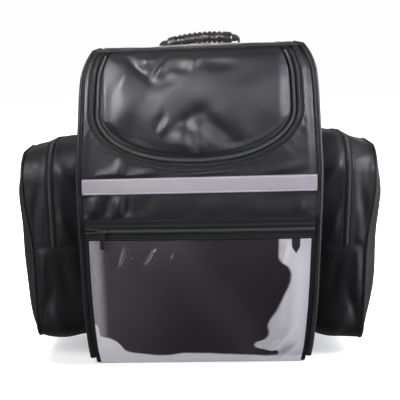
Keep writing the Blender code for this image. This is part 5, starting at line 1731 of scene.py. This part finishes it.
def gusset_point(direction, rows, out, lift):
    """Points on a side pocket's gusset: out from the side panel, lift off its face."""
    y, z, normal_y, normal_z = (rows[:, None, k] for k in range(4))
    share = np.clip(out / rim_out(z), 0.0, 1.0)
    total = lift + SIDE_PUFF * np.sin(np.pi * share)
    x = side_face(z) + GAP + out
    height = z + normal_z * total + hang(direction, share, z)
    return settle(np.stack(np.broadcast_arrays(direction * x, y + normal_y * total, height), -1))


# Folds of a pocket's gusset: distance out, height above the base, the same sizes
GUSSET_FOLDS = (
    (0.045, 0.060, 0.030, 0.010, 60.0, 0.0034),
    (0.062, 0.090, 0.030, 0.008, 110.0, -0.0030),
    (0.030, 0.140, 0.036, 0.010, 80.0, -0.0026),
    (0.066, 0.150, 0.040, 0.009, 95.0, 0.0030),
    (0.024, 0.215, 0.030, 0.009, 70.0, 0.0026),
    (0.070, 0.250, 0.034, 0.008, 100.0, -0.0026),
    (0.020, 0.300, 0.024, 0.008, 50.0, 0.0030),
    (0.070, 0.330, 0.020, 0.008, 30.0, 0.0022),
)


class BACKPACK_OT_side_pockets(bpy.types.Operator):
    """Pockets on both sides: gussets, zips, cords and outer panels"""
    bl_idname = "backpack.side_pockets"
    bl_label = "Side pockets"

    def execute(self, context):
        path, upper = side_path(0.0)
        run = run_along(path[:, :2])
        for word, direction, seed in (("left", -1, 71), ("right", 1, 83)):
            over = path[:upper + 1]
            under = np.concatenate([path[upper:], path[:1]])
            half = SIDE_ZIP_WIDE / 2.0
            self.gusset(word + "_gusset_inner", direction, over, 0.0, SIDE_ZIP_OUT - half, seed, 0.0)
            self.gusset(word + "_gusset_outer", direction, over, SIDE_ZIP_OUT + half, None, seed + 1, 0.0)
            self.gusset(word + "_gusset_lower", direction, under, 0.0, None, seed + 2, run[upper])
            self.zip(word, direction, over)
            self.cord(word, direction, path)
            self.outer(word, direction, seed + 5)
            self.seam_stitches(word, direction, over)
        return {"FINISHED"}

    def relief(self, rows, out, seed, inside, start):
        cloth = bpy.context.scene.backpack_cloth
        z = rows[:, None, 1] + 0.0 * out
        run = start + run_along(rows[:, :2])[:, None]
        folds = ridges(out, z, GUSSET_FOLDS) * cloth.fold * np.abs(rows[:, None, 2])
        low = 2.2 * cloth.uneven * crumple(0.55 * run, out, seed, 0.075, 7)
        gathers = 0.25 * cloth.gather * pucker(run, inside, seed + 40, 0.026, 0.010)
        return (folds + low) * ease(inside / 0.012) + gathers - 0.0005

    def gusset(self, name, direction, rows, start, end, seed, first):
        reach = rim_out(rows[:, None, 1])
        share = np.linspace(0.0, 1.0, 34)[None, :]
        stop = reach if end is None else end + 0.0 * reach
        out = lerp(start, stop, share)
        inside = np.minimum(out - start, stop - out)
        if rows[0, 1] == SIDE_SEAM_Z:
            length = run_along(rows[:, :2])[:, None]
            inside = np.minimum(inside, np.minimum(length, length[-1] - length))
        lift = self.relief(rows, out, seed, inside, first)
        outer = gusset_point(direction, rows, out, lift)
        inner = gusset_point(direction, rows, out, lift - POCKET_THICK)
        run = first + run_along(rows[:, :2])[:, None] + 0.0 * out
        piece = shell(name + "_cloth", outer, inner, np.stack([out, run], -1), "coated_nylon")
        dress(piece, name, slot="nylon")

    def zip(self, word, direction, rows):
        section = (
            (-0.0067, 0.0000), (-0.0050, 0.0006), (-0.0036, 0.0009), (-0.0024, 0.0004), (-0.0018, -0.0004),
            (0.0018, -0.0004), (0.0024, 0.0004), (0.0036, 0.0009), (0.0050, 0.0006), (0.0067, 0.0000),
            (0.0067, -0.0020), (-0.0067, -0.0020),
        )
        rings = [gusset_line(direction, rows, SIDE_ZIP_OUT + across, lift)[0] for across, lift in section]
        tape = loft(word + "_pocket_zip_tape", np.stack(rings, 1), "zip_tape")
        dress(tape, word + "_pocket_zip", slot="zip_tape")
        coils = closed_coil(*gusset_line(direction, rows, SIDE_ZIP_OUT, 0.0006), 0.0009)
        sew(word + "_pocket_zip_coil", coils, slot="zip_tape", finish="coil_nylon")
        low, high = (np.array(corner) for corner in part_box(word + "_pocket_slider"))
        slider = slider_body(word + "_pocket_slider_metal", (low + high) / 2.0, (0.0, 0.0, 1.0), (0.0, 1.0, 0.0))
        dress(slider, word + "_pocket_slider", slot="zip_metal")

    def cord(self, word, direction, path):
        y, z, normal_y, normal_z = path.T
        radius = SIDE_CORD / 2.0
        middle = side_face(z) + GAP + rim_out(z) + GAP + radius
        sink = hang(direction, 1.0, z)
        rings = []
        for across, out in rounded(SIDE_CORD, SIDE_CORD, 10, 1.0):
            lift = out - 0.6 * radius
            rings.append(np.stack([direction * (middle + across), y + normal_y * lift, z + normal_z * lift + sink], -1))
        rings = settle(np.stack(rings, 1))
        cord = loft(word + "_pocket_piping", rings, "seam_binding", closed=True, smooth=80.0)
        dress(cord, word + "_pocket_cord", slot="binding")

    def outer(self, word, direction, seed):
        cloth = bpy.context.scene.backpack_cloth
        inset = 1.6 * SIDE_CORD / 2.0 + GAP
        edge, _ = side_path(inset)
        share = np.concatenate([np.linspace(1.0, 0.9, 12), np.linspace(0.9, 0.06, 30)[1:]])[:, None]
        middle_z = (SIDE_TOP_Z + SIDE_BOTTOM_Z) / 2.0
        y = edge[None, :, 0] * share
        z = lerp(middle_z, edge[None, :, 1], share)
        dome = 1.0 - share**3
        belly = SIDE_SWELL * belly_share[direction](side_share(z)) * dome
        inside = (1.0 - share) * 0.09
        run = run_along(edge[:, :2])[None, :]
        low = 1.6 * cloth.uneven * crumple(y, 0.6 * z, seed, 0.08, 7) + 0.0014 * crumple(y, z, seed + 1, 0.14)
        relief = low * ease(inside / 0.015) + 0.8 * cloth.gather * pucker(run, inside, seed, 0.014, 0.010)
        x = side_face(z) + GAP + rim_out(z) + GAP + 0.7 * SIDE_CORD + belly + relief
        sink = hang(direction, 1.0, z)
        outer = settle(np.stack([direction * x, y, z + sink], -1))
        inner = settle(np.stack([direction * (x - POCKET_THICK), y, z + sink], -1))
        count = edge.shape[0]
        rows = share.shape[0]
        centres = [outer[-1].mean(0), inner[-1].mean(0)]
        layer = rows * count
        grid = quads(rows, count, wrap=True)
        rim = np.append(np.arange(count), 0)
        last = np.append(np.arange(layer - count, layer), layer - count)
        points = np.concatenate([outer.reshape(-1, 3), inner.reshape(-1, 3), centres])
        faces = grid.tolist() + (grid + layer).tolist()
        faces += np.stack([rim[:-1], rim[1:], rim[1:] + layer, rim[:-1] + layer], -1).tolist()
        faces += [[a, b, 2 * layer] for a, b in zip(last[:-1], last[1:])]
        faces += [[a + layer, b + layer, 2 * layer + 1] for a, b in zip(last[:-1], last[1:])]
        flat = points[:, 1:]
        piece = build_mesh(word + "_pocket_panel_cloth", points, faces, "coated_nylon", flat)
        dress(piece, word + "_pocket_panel", slot="nylon")

    def seam_stitches(self, word, direction, over):
        places = (SIDE_ZIP_OUT - GUSSET_SEWN_AT, SIDE_ZIP_OUT + GUSSET_SEWN_AT)
        rows = [stitches(*gusset_line(direction, over, out, 0.0004)) for out in places]
        sew(word + "_pocket_stitches", rows, slot="nylon")


# Shoulder straps

def square_to(heading):
    """Sideways and outward directions of a piece behind the back that heads this way."""
    across = unit(np.array((1.0, 0.0, 0.0)) - heading * heading[..., :1])
    out = np.cross(heading, across)
    return across, out * np.sign(out[..., 1:2])


def strap_centre(share, direction):
    z = lerp(BODY_HEIGHT - STRAP_DROP, STRAP_END_Z, share)
    y = BACK_Y + GAP + STRAP_THICK / 2.0 + STRAP_STAND * strap_arch(share)
    x = direction * (STRAP_X + STRAP_SPREAD * share * share)
    return np.stack([x, y, z], -1)


class BACKPACK_OT_straps(bpy.types.Operator):
    """Padded shoulder straps with their buckles and webbing"""
    bl_idname = "backpack.straps"
    bl_label = "Shoulder straps"

    def execute(self, context):
        for word, direction in SIDES:
            self.strap(word, direction)
            self.buckle(word, direction)
        return {"FINISHED"}

    def strap(self, word, direction):
        share = np.linspace(0.0, 1.0, 120)
        curve = strap_centre(share, direction)
        top = curve[0] + np.linspace(STRAP_SEWN, 0.0, 14)[:-1, None] * (0.0, 0.0, 1.0)
        path = np.concatenate([top, curve])
        across, out = square_to(headings(path))
        full = np.concatenate([np.zeros(len(top)), share])
        narrow = lerp(1.0, 0.72, ease((full - 0.7) / 0.3))[:, None]
        section = rounded(1.0, 1.0, 40, 0.42)
        puff = 1.0 + 0.05 * np.sin(full * 40.0)[:, None]
        wide = STRAP_WIDE * narrow * section[None, :, 0]
        thin = 1.0 - 0.30 * np.exp(-(((np.abs(wide) - STRAP_WIDE * narrow * 0.5 + 0.006) / 0.0022) ** 2))
        high = STRAP_THICK * section[None, :, 1] * puff * thin
        rings = path[:, None] + across[:, None] * wide[..., None] + out[:, None] * high[..., None]
        piece = loft("shoulder_strap_cloth_" + word, rings, "coated_nylon")
        dress(piece, "shoulder_strap_" + word, slot="nylon")
        rows = []
        for side in (-1.0, 1.0):
            for face in (-1.0, 1.0):
                line = path + across * side * (STRAP_WIDE * narrow * 0.5 - 0.006) + out * face * STRAP_THICK * 0.36
                rows.append(stitches(line, out * face))
        sew("shoulder_strap_stitches_" + word, rows, slot="nylon")

    def buckle(self, word, direction):
        ends = strap_centre(np.array((0.999, 1.0)), direction)
        along = unit(ends[1] - ends[0])
        node = frame["nodes"]["strap_buckle_" + word]
        points = [node.matrix_world @ vertex.co for vertex in node.data.vertices]
        faces = [list(face.vertices) for face in node.data.polygons]
        plate = build_mesh("strap_buckle_plate_" + word, points, faces, "moulded_plastic", smooth=40.0)
        soften(plate, BUCKLE_EDGE, 3)
        dress(plate, "strap_buckle_" + word, slot="moulded_plastic")
        start = ends[1] + along * (BUCKLE_LONG + 2.0 * GAP)
        foot = np.array((ends[1][0] + direction * STRAP_FOOT_OUT, BACK_Y + GAP + WEBBING / 2.0, STRAP_FOOT_Z))
        reach = 0.5 * np.linalg.norm(start - foot)
        near, far = start + along * reach * 0.6, foot + np.array((0.0, 0.0, reach * 0.7))
        u = np.linspace(0.0, 1.0, 60)[:, None]
        curve = (1 - u) ** 3 * start + 3 * u * (1 - u) ** 2 * near + 3 * u * u * (1 - u) * far + u ** 3 * foot
        sewn = foot - np.linspace(0.0, STRAP_SEWN, 12)[1:, None] * (0.0, 0.0, 1.0)
        path = np.concatenate([curve, sewn])
        side, face = square_to(headings(path))
        section = rounded(STRAP_WEB_WIDE, WEBBING, 28, 0.35)
        wave = 0.0003 * np.sin(np.linspace(0.0, 40.0, len(path)))[:, None]
        lift = section[None, :, 1:] + wave[..., None]
        rings = path[:, None] + side[:, None] * section[None, :, :1] + face[:, None] * lift
        web = loft("strap_webbing_woven_" + word, rings, "ribbed_webbing")
        dress(web, "strap_webbing_" + word, slot="webbing")
        rows = []
        box = foot - np.array((0.0, 0.0, 0.004))
        half, long = STRAP_WEB_WIDE / 2.0 - 0.003, STRAP_SEWN - 0.008
        skin_lift = np.array((0.0, WEBBING / 2.0 + 0.0002, 0.0))
        corners = [(-half, 0.0), (half, 0.0), (half, -long), (-half, -long), (-half, 0.0), (half, -long)]
        for (x0, z0), (x1, z1) in zip(corners, corners[1:]):
            share = np.linspace(0.0, 1.0, 24)[:, None]
            line = box + skin_lift + lerp(np.array((x0, 0.0, z0)), np.array((x1, 0.0, z1)), share)
            rows.append(stitches(line, np.tile((0.0, 1.0, 0.0), (len(line), 1))))
        sew("strap_webbing_stitches_" + word, rows, "strap_webbing_" + word, slot="webbing")


class BACKPACK_PT_panel(bpy.types.Panel):
    """Backpack pieces in the sidebar"""
    bl_label = "Delivery backpack"
    bl_idname = "BACKPACK_PT_panel"
    bl_space_type = "VIEW_3D"
    bl_region_type = "UI"
    bl_category = "Backpack"

    def draw(self, context):
        for operator in OPERATORS:
            self.layout.operator(operator.bl_idname)
        for group in (context.scene.backpack_colours, context.scene.backpack_cloth, context.scene.backpack_stage):
            box = self.layout.box()
            for key in group.__annotations__:
                box.prop(group, key)


GROUPS = (BackpackColours, BackpackCloth, BackpackStage)
OPERATORS = (
    BACKPACK_OT_stage,
    BACKPACK_OT_body,
    BACKPACK_OT_seams,
    BACKPACK_OT_lid,
    BACKPACK_OT_strip,
    BACKPACK_OT_pocket_zip,
    BACKPACK_OT_window,
    BACKPACK_OT_handle,
    BACKPACK_OT_side_pockets,
    BACKPACK_OT_straps,
)


def register():
    for item in GROUPS + OPERATORS + (BACKPACK_PT_panel,):
        bpy.utils.register_class(item)
    bpy.types.Scene.backpack_colours = bpy.props.PointerProperty(type=BackpackColours)
    bpy.types.Scene.backpack_cloth = bpy.props.PointerProperty(type=BackpackCloth)
    bpy.types.Scene.backpack_stage = bpy.props.PointerProperty(type=BackpackStage)


def unregister():
    del bpy.types.Scene.backpack_stage
    del bpy.types.Scene.backpack_cloth
    del bpy.types.Scene.backpack_colours
    for item in reversed(GROUPS + OPERATORS + (BACKPACK_PT_panel,)):
        bpy.utils.unregister_class(item)


def main():
    register()
    for operator in OPERATORS:
        group, word = operator.bl_idname.split(".")
        getattr(getattr(bpy.ops, group), word)()
    bpy.context.view_layer.update()


if __name__ == "__main__":
    main()
